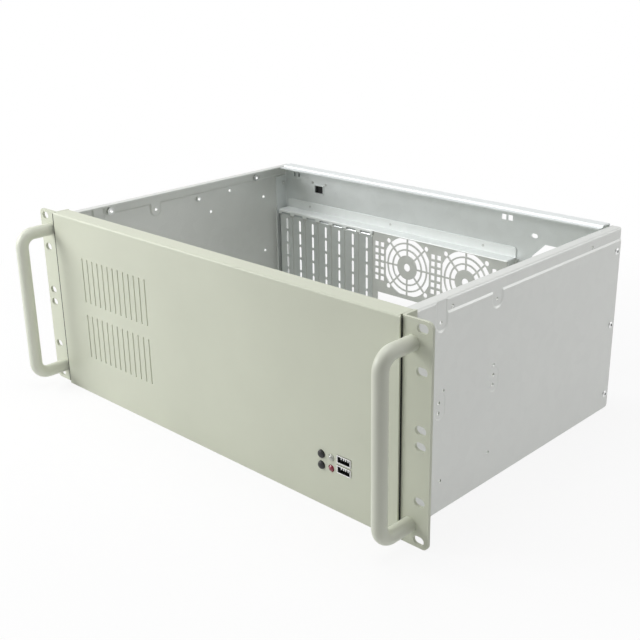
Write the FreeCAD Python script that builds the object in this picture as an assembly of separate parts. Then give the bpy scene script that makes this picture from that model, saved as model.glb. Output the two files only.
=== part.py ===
import FreeCAD, Part
import math
import os

from FreeCAD import Vector

# Empty 19-inch rack-mount server case, four units high, without its lid.
# Lengths are in millimetres.  While a piece is drawn, X runs left to right seen from
# the front, Y runs from the rack plane to the rear and Z runs up from the base.
# save() then moves the zero point under the middle of the whole case.

# ---------------------------------------------------------------- rack standard
RACK_WIDTH = 482.6
RACK_UNIT = 44.45
RACK_HOLE_STEP = 12.7
RACK_HOLE_INSET = 8.75
RACK_SLOT_LENGTH = 10.0
RACK_SLOT_WIDTH = 7.0
PANEL_UNITS = 4
PANEL_RELIEF = 0.8
PANEL_HEIGHT = PANEL_UNITS * RACK_UNIT - PANEL_RELIEF

# ---------------------------------------------------------------- case body
EAR_WIDTH = 27.8
BODY_DEPTH = 305.5
BODY_HEIGHT = 175.0
BODY_SHEET = 1.2
BEND = 0.8
TOP_FLANGE = 10.0
FRONT_LIP = 12.0
WALL_CORNER_R = 4.0
JOGGLE = 0.8
JOGGLE_SLOPE = 1.8
JOGGLE_BEND = 1.2
BAND_START_Y = 52.0
BAND_DROP = 12.0
POCKET_WIDTH = 15.0
POCKET_DROP = 25.0
POCKET_Y = (46.5, 116.5)
POCKET_HOLE_DROP = 17.6
PRESSED_FLAT = 0.1
DIMPLE = 0.4
DIMPLE_SLOPE = 1.2
DIMPLE_WIDTH = 13.4
DIMPLE_HEIGHT = 22.0
DIMPLE_Z = 91.0
DIMPLE_Y = (46.8, 116.0)
SMALL_HOLE_R = 1.6

# ---------------------------------------------------------------- front panel
FASCIA_SHEET = 1.5
FASCIA_FRONT_Y = -2.5
FASCIA_GAP = 1.3
FASCIA_RETURN = 16.2
FASCIA_CORNER_GAP = 0.3
FASCIA_BEND = 0.4
VENT_SLOT_WIDTH = 1.7
VENT_SLOT_LENGTH = 44.0
VENT_PITCH = 8.0
VENT_COUNT = 13
VENT_WALL_INSET = 41.5
VENT_BOTTOM_Z = (39.5, 96.0)
FASCIA_STUD_R = 1.5
FASCIA_STUD_INSET = 7.44
FASCIA_STUD_ENDS = (28.0, 29.0)
FASCIA_STUD_CLEARANCE = 0.1
FASCIA_STUD_LENGTH = 7.0

# ---------------------------------------------------------------- ears and handles
EAR_SHEET = 2.5
EAR_FLANGE = 15.0
EAR_BEND = 0.6
EAR_RIVET_INSET = 30.0
EAR_CORNER_R = 5.0
HANDLE_DIAMETER = 12.0
HANDLE_REACH = 39.5
HANDLE_BEND_R = 12.5
HANDLE_SPACING = 142.5
HANDLE_INSET = 17.3
HANDLE_LOW_Z = 16.5
HANDLE_SCREW_R = 2.0
HANDLE_SCREW_DEPTH = 12.0
HANDLE_SCREW_HEAD_R = 3.8
HANDLE_SCREW_HEAD = 2.4
HANDLE_SCREW_CLEARANCE = 0.2
HANDLE_SCREW_END_GAP = 2.0

# ---------------------------------------------------------------- rear panel
REAR_SIDE_FLANGE = 17.0
REAR_SIDE_FLANGE_DROP = 12.8
REAR_BOTTOM_FLANGE = 12.0
REAR_TOP_FLANGE = 12.5
REAR_TOP_STEP = 5.2
REAR_TOP_SLOPE = 1.0
REAR_TOP_GAP = 2.0
REAR_TOP_RISE = 2.0
REAR_WING_GAP = 0.2
REAR_RIVET_INSET = 6.2
REAR_RIVET_LOW_Z = 15.8
REAR_RIVET_MIDDLE_Z = 84.6
REAR_RIVET_DROP = 20.8
BRIDGE_SLOT_INSETS = (16.8, 24.0)
BRIDGE_SLOT_DROP = 10.0
BRIDGE_SLOT_WIDTH = 2.4
BRIDGE_SLOT_HEIGHT = 5.0
BRIDGE_MARGIN = 1.4
BRIDGE_RISE = 1.8
BRIDGE_SHEET = 0.7
SOCKET_INSET = 55.8
SOCKET_DROP = 22.3
SOCKET_WIDTH = 12.2
SOCKET_HEIGHT = 8.4
SOCKET_COLLAR = 1.2
SOCKET_COLLAR_RISE = 0.8
SOCKET_SCREW_STEP = 10.2
SOCKET_SCREW_RISE = 6.6
SOCKET_MARGIN = 3.2
SOCKET_BLOCK = 1.9
SOCKET_RECESS = 1.2
LATCH_HOLE = 5.5
LATCH_HOLE_INSETS = (123.3, 115.9)
LATCH_HOLE_DROP = 11.2

# ---------------------------------------------------------------- input and output bulkhead
BULKHEAD_SHEET = 1.0
BULKHEAD_WALL_GAP = 6.5
BULKHEAD_SUPPLY_GAP = 17.2
BULKHEAD_DEPTH = 14.3
BULKHEAD_TOP_Z = 120.5
BULKHEAD_FOOT = 8.0
BULKHEAD_FOOT_END = 1.0
BULKHEAD_HEM = 2.6
BULKHEAD_BEND = 0.5
FOOT_RIVET_INSET = 18.8
FOOT_RIVET_COUNT = 4
WINDOW_MARGIN = 4.0
WINDOW_SILL_Z = 8.0
GUARD_LEDGE_Z = 125.9
GUARD_FLANGE = 10.0
GUARD_SCREW_RISE = 5.0
GUARD_CORNER_R = 2.5
GUARD_SCREW_PITCH = 119.8
GUARD_SCREW_COUNT = 3
GUARD_SCREW_FIRST = 35.2
GUARD_WINDOW_WIDTH = 14.3
GUARD_WINDOW_HEIGHT = 2.4
GUARD_EDGE_MARGIN = 0.8

# ---------------------------------------------------------------- expansion slots
SLOT_PITCH = 20.32
SLOT_EDGE_INSET = 10.2
SLOT_OPENING_WIDTH = 12.4
SLOT_OPENING_LOW_Z = 20.0
COVER_SHEET = 0.8
COVER_BEND = 1.2
COVER_WIDTH = 18.4
COVER_LOW_Z = 12.0
COVER_TAB = 11.4
COVER_TAB_WIDTH = 13.6
COVER_TOE_WIDTH = 10.0
COVER_TOE_HEIGHT = 8.0
PERFORATION_WIDTH = 3.0
PERFORATION_LENGTH = 12.8
PERFORATION_PITCH = 15.3
PERFORATION_COUNT = 6
PERFORATION_TOP_Z = 116.5
PERFORATION_OFFSET_X = 1.8

# ---------------------------------------------------------------- fan grilles
FAN_EDGE_INSET = 48.9
FAN_PITCH = 75.1
FAN_Z = 93.1
FAN_HOLE_SPACING = 50.0
FAN_HOLE_R = 2.6
FAN_HUB_R = 13.0
FAN_HUB_HOLE_R = 4.2
FAN_GRILLE_R = 32.0
FAN_GRILLE_HALF_WIDTH = 29.3
FAN_GRILLE_HALF_HEIGHT = 30.6
FAN_RING_BAR = 1.7
FAN_RING_COUNT = 3
FAN_SPOKES = 8
SQUARE_HOLE = 5.0
SQUARE_HOLE_PITCH_X = 7.7
SQUARE_HOLE_PITCH_Z = 7.53
SQUARE_HOLE_ROWS = 6
SQUARE_HOLE_TOP_Z = 111.9
SQUARE_PAIR_OFFSET = 37.8

# ---------------------------------------------------------------- board opening and standoffs
BOARD_OPENING_WIDTH = 158.75
BOARD_OPENING_HEIGHT = 44.45
BOARD_OPENING_EDGE = 5.55
BOARD_OPENING_TOP_Z = 58.0
STANDOFF_HEIGHT = 14.4
STANDOFF_ACROSS = 5.5
STANDOFF_BORE_R = 1.5
STANDOFF_OPENING_INSET = 15.45
STANDOFF_STEPS_X = (0.0, 157.48, 281.94)
STANDOFF_REAR_INSET = 12.2
STANDOFF_STEPS_Y = (0.0, 154.94, 227.33)

# ---------------------------------------------------------------- power supply opening
SUPPLY_WALL_MARGIN = 18.5
SUPPLY_WIDTH = 71.5
SUPPLY_LOW_Z = 19.5
SUPPLY_HEIGHT = 125.0
SUPPLY_CHAMFER = 14.0
SUPPLY_SCREW_INSET = 2.0
SUPPLY_SCREW_ABOVE = 6.5
SUPPLY_SCREW_TALL = 138.0
SUPPLY_SCREW_WIDE = 64.0
SUPPLY_SCREW_ODD_X = 74.0
SUPPLY_SCREW_ODD_Z = 114.0
SUPPLY_SCREW_R = 2.2
SUPPLY_SLOT_LENGTH = 7.0

# ---------------------------------------------------------------- controls on the front panel
CONTROL_LOW_Z = 36.5
BUTTON_Z = (35.0, 44.6)
LAMP_Z = (35.6, 44.9)
PORT_Z = (37.7, 46.2)
BUTTON_WALL_INSET = 75.3
BUTTON_R = 3.3
BUTTON_CLEARANCE = 0.3
BUTTON_PROUD = 2.2
BUTTON_CAP = 5.0
BUTTON_STEM_R = 1.4
BUTTON_STEM_IN = 2.1
BUTTON_STEM_CLEARANCE = 0.15
BUTTON_RIM = 0.9
BUTTON_RIM_GAP = 0.05
BUTTON_DOME = 1.5
SWITCH_SIDE = 6.2
SWITCH_DEPTH = 5.0
SWITCH_BORE = 4.0
LAMP_STEP = 10.3
LAMP_R = 2.9
LAMP_CLEARANCE = 0.15
LAMP_PROUD = 1.6
LAMP_LENGTH = 8.6
LAMP_LEAD = 0.6
LAMP_LEAD_STEP = 2.54
LAMP_RIM = 0.4
LAMP_RIM_SHEET = 1.0
LAMP_ROOT = 0.2
PORT_STEP = 23.6
PORT_WIDTH = 14.2
PORT_HEIGHT = 6.6
PORT_WALL = 0.8
PORT_CLEARANCE = 0.25
PORT_PROUD = 0.6
PORT_TONGUE = 1.9
PORT_TONGUE_SIDE = 1.1
PORT_TONGUE_DROP = 0.5
PORT_TONGUE_SINK = 0.8
PORT_BASE = 3.0
PORT_CORNER_R = 0.5
CONTROL_BOARD_Y = 11.6
CONTROL_BOARD_SHEET = 1.6
CONTROL_BOARD_MARGIN = 7.4
CONTROL_BOARD_RIM = 1.0
CONTROL_POST_R = 2.4
CONTROL_POST_RISE = 16.0
CONTROL_POST_OFFSET = 2.0
CONTROL_POST_ROOT = 0.5
CONTROL_SCREW_GRIP = 5.0

# ---------------------------------------------------------------- rivets, nuts and screws
RIVET_HEAD_R = 3.2
RIVET_HEAD = 1.1
RIVET_SHANK_R = 1.6
RIVET_TAIL_R = 2.4
RIVET_TAIL = 2.2
SCREW_HEAD_R = 2.9
SCREW_HEAD = 1.8
SCREW_R = 1.5
SCREW_TAIL = 2.0
SCREW_CLEARANCE = 0.1
NUT_ACROSS = 5.5
NUT_HEIGHT = 2.4
LID_NUT_R = 3.8
LID_NUT_BORE_R = 1.6
LID_NUT_HEIGHT = 1.8
LID_NUT_Y = (60.2, 257.3)
LID_NUT_DROP = 8.2
STUD_NUT_R = 2.8
STUD_NUT_Y = 173.6
STUD_NUT_DROP = 16.9

# ---------------------------------------------------------------- worked-out places
WALL_X = RACK_WIDTH / 2 - EAR_WIDTH
INNER_X = WALL_X - BODY_SHEET
SUPPLY_RIGHT_X = WALL_X - SUPPLY_WALL_MARGIN
SUPPLY_LEFT_X = SUPPLY_RIGHT_X - SUPPLY_WIDTH
SUPPLY_HIGH_Z = SUPPLY_LOW_Z + SUPPLY_HEIGHT
BULKHEAD_LEFT_X = BULKHEAD_WALL_GAP - WALL_X
BULKHEAD_RIGHT_X = SUPPLY_LEFT_X - BULKHEAD_SUPPLY_GAP
BOARD_OPENING_RIGHT_X = BULKHEAD_RIGHT_X - BOARD_OPENING_EDGE
BOARD_OPENING_LEFT_X = BOARD_OPENING_RIGHT_X - BOARD_OPENING_WIDTH
STANDOFF_RIGHT_X = BOARD_OPENING_RIGHT_X - STANDOFF_OPENING_INSET
FAN_RIGHT_X = BULKHEAD_RIGHT_X - FAN_EDGE_INSET
FAN_CENTRES_X = (FAN_RIGHT_X - FAN_PITCH, FAN_RIGHT_X)
SLOT_FIRST_X = BULKHEAD_LEFT_X + SLOT_EDGE_INSET
SLOT_ROOM = BOARD_OPENING_LEFT_X - COVER_WIDTH / 2 - SLOT_FIRST_X
SLOT_COUNT = int(SLOT_ROOM / SLOT_PITCH) + 1
HANDLE_X = RACK_WIDTH / 2 - HANDLE_INSET
VENT_FIRST_X = VENT_WALL_INSET - WALL_X
BUTTON_X = WALL_X - BUTTON_WALL_INSET
LAMP_X = BUTTON_X + LAMP_STEP
PORT_X = BUTTON_X + PORT_STEP
REAR_INNER_Y = BODY_DEPTH - BODY_SHEET
FASCIA_BACK_Y = FASCIA_FRONT_Y + FASCIA_SHEET
TRAY_FRONT_Y = FASCIA_BACK_Y
LIP_BACK_Y = TRAY_FRONT_Y + BODY_SHEET
EAR_SEAM_X = WALL_X + EAR_SHEET
FASCIA_HALF_X = EAR_SEAM_X - FASCIA_GAP
BAND_LOW_Z = BODY_HEIGHT - BAND_DROP
POCKET_LOW_Z = BODY_HEIGHT - POCKET_DROP
POCKET_HOLE_Z = BODY_HEIGHT - POCKET_HOLE_DROP
LID_NUT_Z = BODY_HEIGHT - LID_NUT_DROP
BULKHEAD_FACE_Y = REAR_INNER_Y - BULKHEAD_DEPTH
BULKHEAD_BACK_Y = BULKHEAD_FACE_Y + BULKHEAD_SHEET
GUARD_LOW_Z = GUARD_LEDGE_Z - BULKHEAD_SHEET
GUARD_TOP_Z = GUARD_LEDGE_Z + GUARD_FLANGE
GUARD_SCREW_Z = GUARD_LEDGE_Z + GUARD_SCREW_RISE
COVER_FACE_Y = BULKHEAD_FACE_Y - COVER_SHEET
GUARD_FRONT_Y = COVER_FACE_Y - BULKHEAD_SHEET
FASCIA_STUD_X = WALL_X - FASCIA_STUD_INSET
FASCIA_STUD_LOW_Z = FASCIA_STUD_ENDS[0]
FASCIA_STUD_HIGH_Z = PANEL_HEIGHT - FASCIA_STUD_ENDS[1]
FASCIA_STUD_Z = (FASCIA_STUD_LOW_Z, (FASCIA_STUD_LOW_Z + FASCIA_STUD_HIGH_Z) / 2, FASCIA_STUD_HIGH_Z)
EAR_RIVET_Y = EAR_SHEET + (EAR_FLANGE - EAR_SHEET) / 2
EAR_RIVET_Z = (EAR_RIVET_INSET, PANEL_HEIGHT / 2, PANEL_HEIGHT - EAR_RIVET_INSET)
HANDLE_AXIS_Y = HANDLE_DIAMETER / 2 - HANDLE_REACH
REAR_TOP_Z = BODY_HEIGHT + REAR_TOP_RISE
REAR_RIVET_Z = (REAR_RIVET_LOW_Z, REAR_RIVET_MIDDLE_Z, BODY_HEIGHT - REAR_RIVET_DROP)
SOCKET_X = SOCKET_INSET - WALL_X
SOCKET_Z = BODY_HEIGHT - SOCKET_DROP
GUARD_EDGE_X = SLOT_FIRST_X + (SLOT_COUNT - 1) * SLOT_PITCH + COVER_WIDTH / 2 + GUARD_EDGE_MARGIN
MIDDLE_Y = (BODY_DEPTH + SCREW_TAIL - HANDLE_REACH) / 2

DRIVE_HOLES = (
    (50.4, 102.8), (45.8, 94.0), (45.6, 85.8),
    (114.6, 103.4), (115.4, 94.6), (114.8, 86.2),
    (49.4, 27.4), (112.2, 27.6),
)
STUD_NUT_PLACE = (STUD_NUT_Y, BODY_HEIGHT - STUD_NUT_DROP)
LEFT_WALL_HOLES = (
    (218.6, BODY_HEIGHT - 16.1), (190.5, BODY_HEIGHT - 34.3),
    (269.0, BODY_HEIGHT - 32.1), (269.0, 79.3),
)


# ---------------------------------------------------------------- drawing helpers
def box(x0, x1, y0, y1, z0, z1):
    return Part.makeBox(x1 - x0, y1 - y0, z1 - z0, Vector(x0, y0, z0))


def rod(start, axis, radius, length):
    return Part.makeCylinder(radius, length, Vector(*start), Vector(*axis))


def in_xz(y):
    return lambda u, v: Vector(u, y, v)


def in_yz(x):
    return lambda u, v: Vector(x, u, v)


def in_xy(z):
    return lambda u, v: Vector(u, v, z)


def unit(du, dv):
    length = math.hypot(du, dv)
    return du / length, dv / length


def rounded_loop(corners, place):
    """Closed wire through (u, v, radius) corners."""
    turns = []
    for i, (u, v, radius) in enumerate(corners):
        before = corners[i - 1]
        after = corners[(i + 1) % len(corners)]
        back = unit(before[0] - u, before[1] - v)
        ahead = unit(after[0] - u, after[1] - v)
        if radius <= 0:
            turns.append(((u, v), None, (u, v)))
            continue
        half = math.acos(back[0] * ahead[0] + back[1] * ahead[1]) / 2
        reach = radius / math.tan(half)
        inward = unit(back[0] + ahead[0], back[1] + ahead[1])
        to_mid = radius / math.sin(half) - radius
        turns.append((
            (u + back[0] * reach, v + back[1] * reach),
            (u + inward[0] * to_mid, v + inward[1] * to_mid),
            (u + ahead[0] * reach, v + ahead[1] * reach),
        ))
    edges = []
    for i, (start, mid, end) in enumerate(turns):
        if mid is not None:
            edges.append(Part.Arc(place(*start), place(*mid), place(*end)).toShape())
        following = turns[(i + 1) % len(turns)][0]
        if math.hypot(following[0] - end[0], following[1] - end[1]) > 1e-6:
            edges.append(Part.makeLine(place(*end), place(*following)))
    return Part.Wire(edges)


def prism(corners, place, along):
    return Part.Face(rounded_loop(corners, place)).extrude(Vector(*along))


def folded_sheet(path, sheet, bend, place, along):
    """Bent strip: path follows one skin and the metal lies on its left."""
    near = []
    far = []
    for i, (u, v) in enumerate(path):
        if i == 0:
            e1 = unit(path[1][0] - u, path[1][1] - v)
            e2 = e1
        elif i == len(path) - 1:
            e1 = unit(u - path[i - 1][0], v - path[i - 1][1])
            e2 = e1
        else:
            e1 = unit(u - path[i - 1][0], v - path[i - 1][1])
            e2 = unit(path[i + 1][0] - u, path[i + 1][1] - v)
        n1 = (-e1[1], e1[0])
        n2 = (-e2[1], e2[0])
        scale = sheet / (1 + n1[0] * n2[0] + n1[1] * n2[1])
        turn = e1[0] * e2[1] - e1[1] * e2[0]
        near_radius = 0.0
        far_radius = 0.0
        if turn > 1e-6:
            near_radius = bend + sheet
            far_radius = bend
        if turn < -1e-6:
            near_radius = bend
            far_radius = bend + sheet
        near.append((u, v, near_radius))
        far.append((u + (n1[0] + n2[0]) * scale, v + (n1[1] + n2[1]) * scale, far_radius))
    return prism(near + far[::-1], place, along)


def obround(u, v, length_u, length_v, place, along):
    """Slot with round ends, centred on (u, v)."""
    radius = min(length_u, length_v) / 2
    du = length_u / 2
    dv = length_v / 2
    corners = [(u - du, v - dv), (u + du, v - dv), (u + du, v + dv), (u - du, v + dv)]
    return prism([(a, b, radius) for a, b in corners], place, along)


def mirrored(shape):
    return shape.mirror(Vector(0, 0, 0), Vector(1, 0, 0))


def on_both_sides(shapes):
    return shapes + [mirrored(shape) for shape in shapes]


def turned(profile, start, axis):
    """Solid turned from a (radius, height) outline about an axis that leaves start."""
    points = [Vector(radius, 0, height) for radius, height in profile]
    solid = Part.Face(Part.makePolygon(points + points[:1])).revolve(Vector(0, 0, 0), Vector(0, 0, 1), 360)
    solid.Placement = FreeCAD.Placement(
        Vector(*start),
        FreeCAD.Rotation(Vector(0, 0, 1), Vector(*axis)),
    )
    return solid


def pan_screw(seat, outward, head_r, head, shank_r, length):
    """Screw whose head stands on the seat and whose shank runs the other way."""
    crown = head * 0.45
    outline = [
        (0, -length), (shank_r, -length), (shank_r, 0), (head_r, 0),
        (head_r, head - crown), (head_r * 0.62, head), (0, head),
    ]
    return turned(outline, seat, outward)


def blind_rivet(seat, outward, grip):
    """Rivet with its head on the seat and its tail swelled behind the grip."""
    outline = [
        (0, -grip - RIVET_TAIL), (RIVET_TAIL_R, -grip - RIVET_TAIL), (RIVET_TAIL_R, -grip),
        (RIVET_SHANK_R, -grip), (RIVET_SHANK_R, 0), (RIVET_HEAD_R, 0),
        (RIVET_HEAD_R * 0.7, RIVET_HEAD), (0, RIVET_HEAD),
    ]
    return turned(outline, seat, outward)


def hexagon(seat, outward, across, height, bore_r):
    """Hexagonal nut or standoff with a plain bore."""
    corner = across / math.sqrt(3)
    points = [
        Vector(corner * math.cos(math.radians(60 * k)), corner * math.sin(math.radians(60 * k)), 0)
        for k in range(6)
    ]
    solid = Part.Face(Part.makePolygon(points + points[:1])).extrude(Vector(0, 0, height))
    solid = solid.cut(Part.makeCylinder(bore_r, height))
    solid.Placement = FreeCAD.Placement(
        Vector(*seat),
        FreeCAD.Rotation(Vector(0, 0, 1), Vector(*outward)),
    )
    return solid


def save(name, *solids):
    """Write one named piece, or one named group of like pieces."""
    shape = solids[0]
    if len(solids) > 1:
        shape = Part.makeCompound(list(solids))
    shape = shape.copy()
    shape.translate(Vector(0, -MIDDLE_Y, 0))
    shape.exportStep("parts/" + name + ".step")


# ---------------------------------------------------------------- case body
def pressed(y0, y1, z0, z1, radius, depth, slope):
    """Tool for a shallow pressing in the right wall; it slopes where it ends inside the wall."""
    open_rear = y1 >= BODY_DEPTH
    open_top = z1 >= BODY_HEIGHT

    def outline(x, inset):
        turn = max(radius - inset, slope)
        far = y1 if open_rear else y1 - inset
        high = z1 if open_top else z1 - inset
        corners = [
            (y0 + inset, z0 + inset, turn), (far, z0 + inset, 0 if open_rear else turn),
            (far, high, 0 if open_rear or open_top else turn), (y0 + inset, high, 0 if open_top else turn),
        ]
        return rounded_loop(corners, in_yz(x))

    return Part.makeLoft([outline(WALL_X, 0), outline(WALL_X - depth, slope)], True, True)


def pressed_side(tray):
    """Press the upper band, its screw pockets and the drive dimples into the right wall."""
    turn = JOGGLE_BEND + JOGGLE_SLOPE
    tools = [pressed(BAND_START_Y, BODY_DEPTH, BAND_LOW_Z, BODY_HEIGHT, turn, JOGGLE, JOGGLE_SLOPE)]
    half = POCKET_WIDTH / 2
    turn = half - PRESSED_FLAT
    for y in POCKET_Y:
        tools.append(pressed(y - half, y + half, POCKET_LOW_Z, BODY_HEIGHT, turn, JOGGLE, JOGGLE_SLOPE))
    half = DIMPLE_WIDTH / 2
    turn = half - PRESSED_FLAT
    low = DIMPLE_Z - DIMPLE_HEIGHT / 2
    for y in DIMPLE_Y:
        tools.append(pressed(y - half, y + half, low, low + DIMPLE_HEIGHT, turn, DIMPLE, DIMPLE_SLOPE))
    inside = box(INNER_X - 1, WALL_X, TRAY_FRONT_Y, BODY_DEPTH, BODY_SHEET, BODY_HEIGHT - BODY_SHEET)
    for tool in tools:
        bump = tool.copy()
        bump.translate(Vector(-BODY_SHEET, 0, 0))
        tray = tray.fuse(bump.common(inside))
    tray = tray.cut(tools)
    r = BEND + BODY_SHEET
    crown_x = WALL_X - JOGGLE - r
    crown_y = BAND_START_Y + JOGGLE_SLOPE
    crown = box(crown_x, WALL_X + 1, crown_y, BODY_DEPTH + 1, BODY_HEIGHT - r, BODY_HEIGHT + 1)
    crown = crown.cut(rod((crown_x, crown_y - 1, BODY_HEIGHT - r), (0, 1, 0), r, BODY_DEPTH - crown_y + 3))
    return tray.cut(crown)


def wall_openings():
    """Holes that both side walls have, drawn for the right one."""
    through = INNER_X - JOGGLE - 1
    depth = BODY_SHEET + JOGGLE + 2
    tools = [rod((through, y, z), (1, 0, 0), SMALL_HOLE_R, depth) for y, z in DRIVE_HOLES]
    for y in POCKET_Y:
        tools.append(rod((through, y, POCKET_HOLE_Z), (1, 0, 0), SMALL_HOLE_R, depth))
    for y in LID_NUT_Y:
        tools.append(rod((through, y, LID_NUT_Z), (1, 0, 0), LID_NUT_BORE_R, depth))
    for z in REAR_RIVET_Z:
        tools.append(rod((through, BODY_DEPTH - REAR_RIVET_INSET, z), (1, 0, 0), RIVET_SHANK_R, depth))
    for z in EAR_RIVET_Z:
        tools.append(rod((through, EAR_RIVET_Y, z), (1, 0, 0), RIVET_SHANK_R, depth))
    return tools


def left_wall_openings():
    """Holes that only the left wall has."""
    places = LEFT_WALL_HOLES + (STUD_NUT_PLACE,)
    return [rod((-WALL_X - 1, y, z), (1, 0, 0), SMALL_HOLE_R, BODY_SHEET + 2) for y, z in places]


def standoff_places():
    rear = BULKHEAD_FACE_Y - STANDOFF_REAR_INSET
    return [(STANDOFF_RIGHT_X - dx, rear - dy) for dx in STANDOFF_STEPS_X for dy in STANDOFF_STEPS_Y]


def chassis_tray():
    """Floor, side walls and lid flanges folded from one sheet."""
    flange_x = WALL_X - TOP_FLANGE
    path = [
        (flange_x, BODY_HEIGHT), (WALL_X, BODY_HEIGHT), (WALL_X, 0),
        (-WALL_X, 0), (-WALL_X, BODY_HEIGHT), (-flange_x, BODY_HEIGHT),
    ]
    length = BODY_DEPTH - TRAY_FRONT_Y
    tray = folded_sheet(path[::-1], BODY_SHEET, BEND, in_xz(TRAY_FRONT_Y), (0, length, 0))
    lip_x = WALL_X - FRONT_LIP
    lip_top = BODY_HEIGHT - BODY_SHEET
    lips = on_both_sides([box(lip_x, INNER_X, TRAY_FRONT_Y, LIP_BACK_Y, BODY_SHEET, lip_top)])
    lips.append(box(-lip_x, lip_x, TRAY_FRONT_Y, LIP_BACK_Y, BODY_SHEET, FRONT_LIP))
    tray = tray.fuse(lips)
    tray = mirrored(pressed_side(mirrored(pressed_side(tray))))
    r = WALL_CORNER_R
    corner_y = BODY_DEPTH - r
    corner = box(WALL_X - 2 * BODY_SHEET, WALL_X + 1, corner_y, BODY_DEPTH + 1, -1, r)
    corner = corner.cut(rod((0, corner_y, r), (1, 0, 0), r, WALL_X + 1))
    tools = on_both_sides(wall_openings() + [corner]) + left_wall_openings()
    stud_hole_r = FASCIA_STUD_R + FASCIA_STUD_CLEARANCE
    for z in FASCIA_STUD_Z:
        hole = rod((FASCIA_STUD_X, TRAY_FRONT_Y - 1, z), (0, 1, 0), stud_hole_r, BODY_SHEET + 2)
        tools += on_both_sides([hole])
    for x, y in standoff_places():
        tools.append(rod((x, y, -1), (0, 0, 1), STANDOFF_BORE_R, BODY_SHEET + 2))
    for x in bulkhead_foot_places():
        tools.append(rod((x, bulkhead_foot_y(), -1), (0, 0, 1), RIVET_SHANK_R, BODY_SHEET + 2))
    return tray.cut(tools).removeSplitter()


# ---------------------------------------------------------------- front panel
def fascia():
    """Front panel with a rounded return over the top, two vents and the control openings."""
    low_y = FASCIA_FRONT_Y
    path = [(low_y, 0), (low_y, PANEL_HEIGHT), (low_y + FASCIA_RETURN, PANEL_HEIGHT)]
    width = 2 * FASCIA_HALF_X
    panel = folded_sheet(path[::-1], FASCIA_SHEET, FASCIA_BEND, in_yz(-FASCIA_HALF_X), (width, 0, 0))
    studs = []
    root_y = FASCIA_BACK_Y - CONTROL_POST_ROOT
    for z in FASCIA_STUD_Z:
        stud = rod((FASCIA_STUD_X, root_y, z), (0, 1, 0), FASCIA_STUD_R, FASCIA_STUD_LENGTH)
        studs += on_both_sides([stud])
    for x, z in control_posts():
        studs.append(rod((x, root_y, z), (0, 1, 0), CONTROL_POST_R, CONTROL_BOARD_Y - root_y))
    panel = panel.fuse(studs)
    front = FASCIA_FRONT_Y - 1
    deep = (0, FASCIA_SHEET + 2, 0)
    relief_x = WALL_X - FASCIA_CORNER_GAP
    relief_low = PANEL_HEIGHT - FASCIA_SHEET - 1
    relief = box(relief_x, FASCIA_HALF_X + 1, FASCIA_BACK_Y, FASCIA_RETURN, relief_low, PANEL_HEIGHT + 1)
    tools = on_both_sides([relief])
    for low in VENT_BOTTOM_Z:
        for k in range(VENT_COUNT):
            x = VENT_FIRST_X + k * VENT_PITCH
            middle = low + VENT_SLOT_LENGTH / 2
            tools.append(obround(x, middle, VENT_SLOT_WIDTH, VENT_SLOT_LENGTH, in_xz(front), deep))
    for z in BUTTON_Z:
        tools.append(rod((BUTTON_X, front, z), (0, 1, 0), BUTTON_R + BUTTON_CLEARANCE, deep[1]))
    for z in LAMP_Z:
        tools.append(rod((LAMP_X, front, z), (0, 1, 0), LAMP_R + LAMP_CLEARANCE, deep[1]))
    half_x = PORT_WIDTH / 2 + PORT_CLEARANCE
    half_z = PORT_HEIGHT / 2 + PORT_CLEARANCE
    for z in PORT_Z:
        tools.append(box(PORT_X - half_x, PORT_X + half_x, front, front + deep[1], z - half_z, z + half_z))
    for x, z in control_posts():
        bore_y = CONTROL_BOARD_Y - CONTROL_SCREW_GRIP - 1
        tools.append(rod((x, bore_y, z), (0, 1, 0), SCREW_R, CONTROL_SCREW_GRIP + 2))
    return panel.cut(tools).removeSplitter()


def fascia_nuts():
    nuts = []
    for z in FASCIA_STUD_Z:
        seat = (FASCIA_STUD_X, LIP_BACK_Y, z)
        nuts += on_both_sides([hexagon(seat, (0, 1, 0), NUT_ACROSS, NUT_HEIGHT, FASCIA_STUD_R)])
    return nuts


# ---------------------------------------------------------------- ears and handles
def rack_slot_heights():
    low = (PANEL_HEIGHT - PANEL_UNITS * RACK_UNIT + RACK_HOLE_STEP) / 2
    middle = PANEL_UNITS / 2
    steps = (
        0, RACK_UNIT - RACK_HOLE_STEP, middle * RACK_UNIT - RACK_HOLE_STEP,
        middle * RACK_UNIT, (PANEL_UNITS - 1) * RACK_UNIT, PANEL_UNITS * RACK_UNIT - RACK_HOLE_STEP,
    )
    return [low + step for step in steps]


def handle_heights():
    return (HANDLE_LOW_Z, HANDLE_LOW_Z + HANDLE_SPACING)


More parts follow.
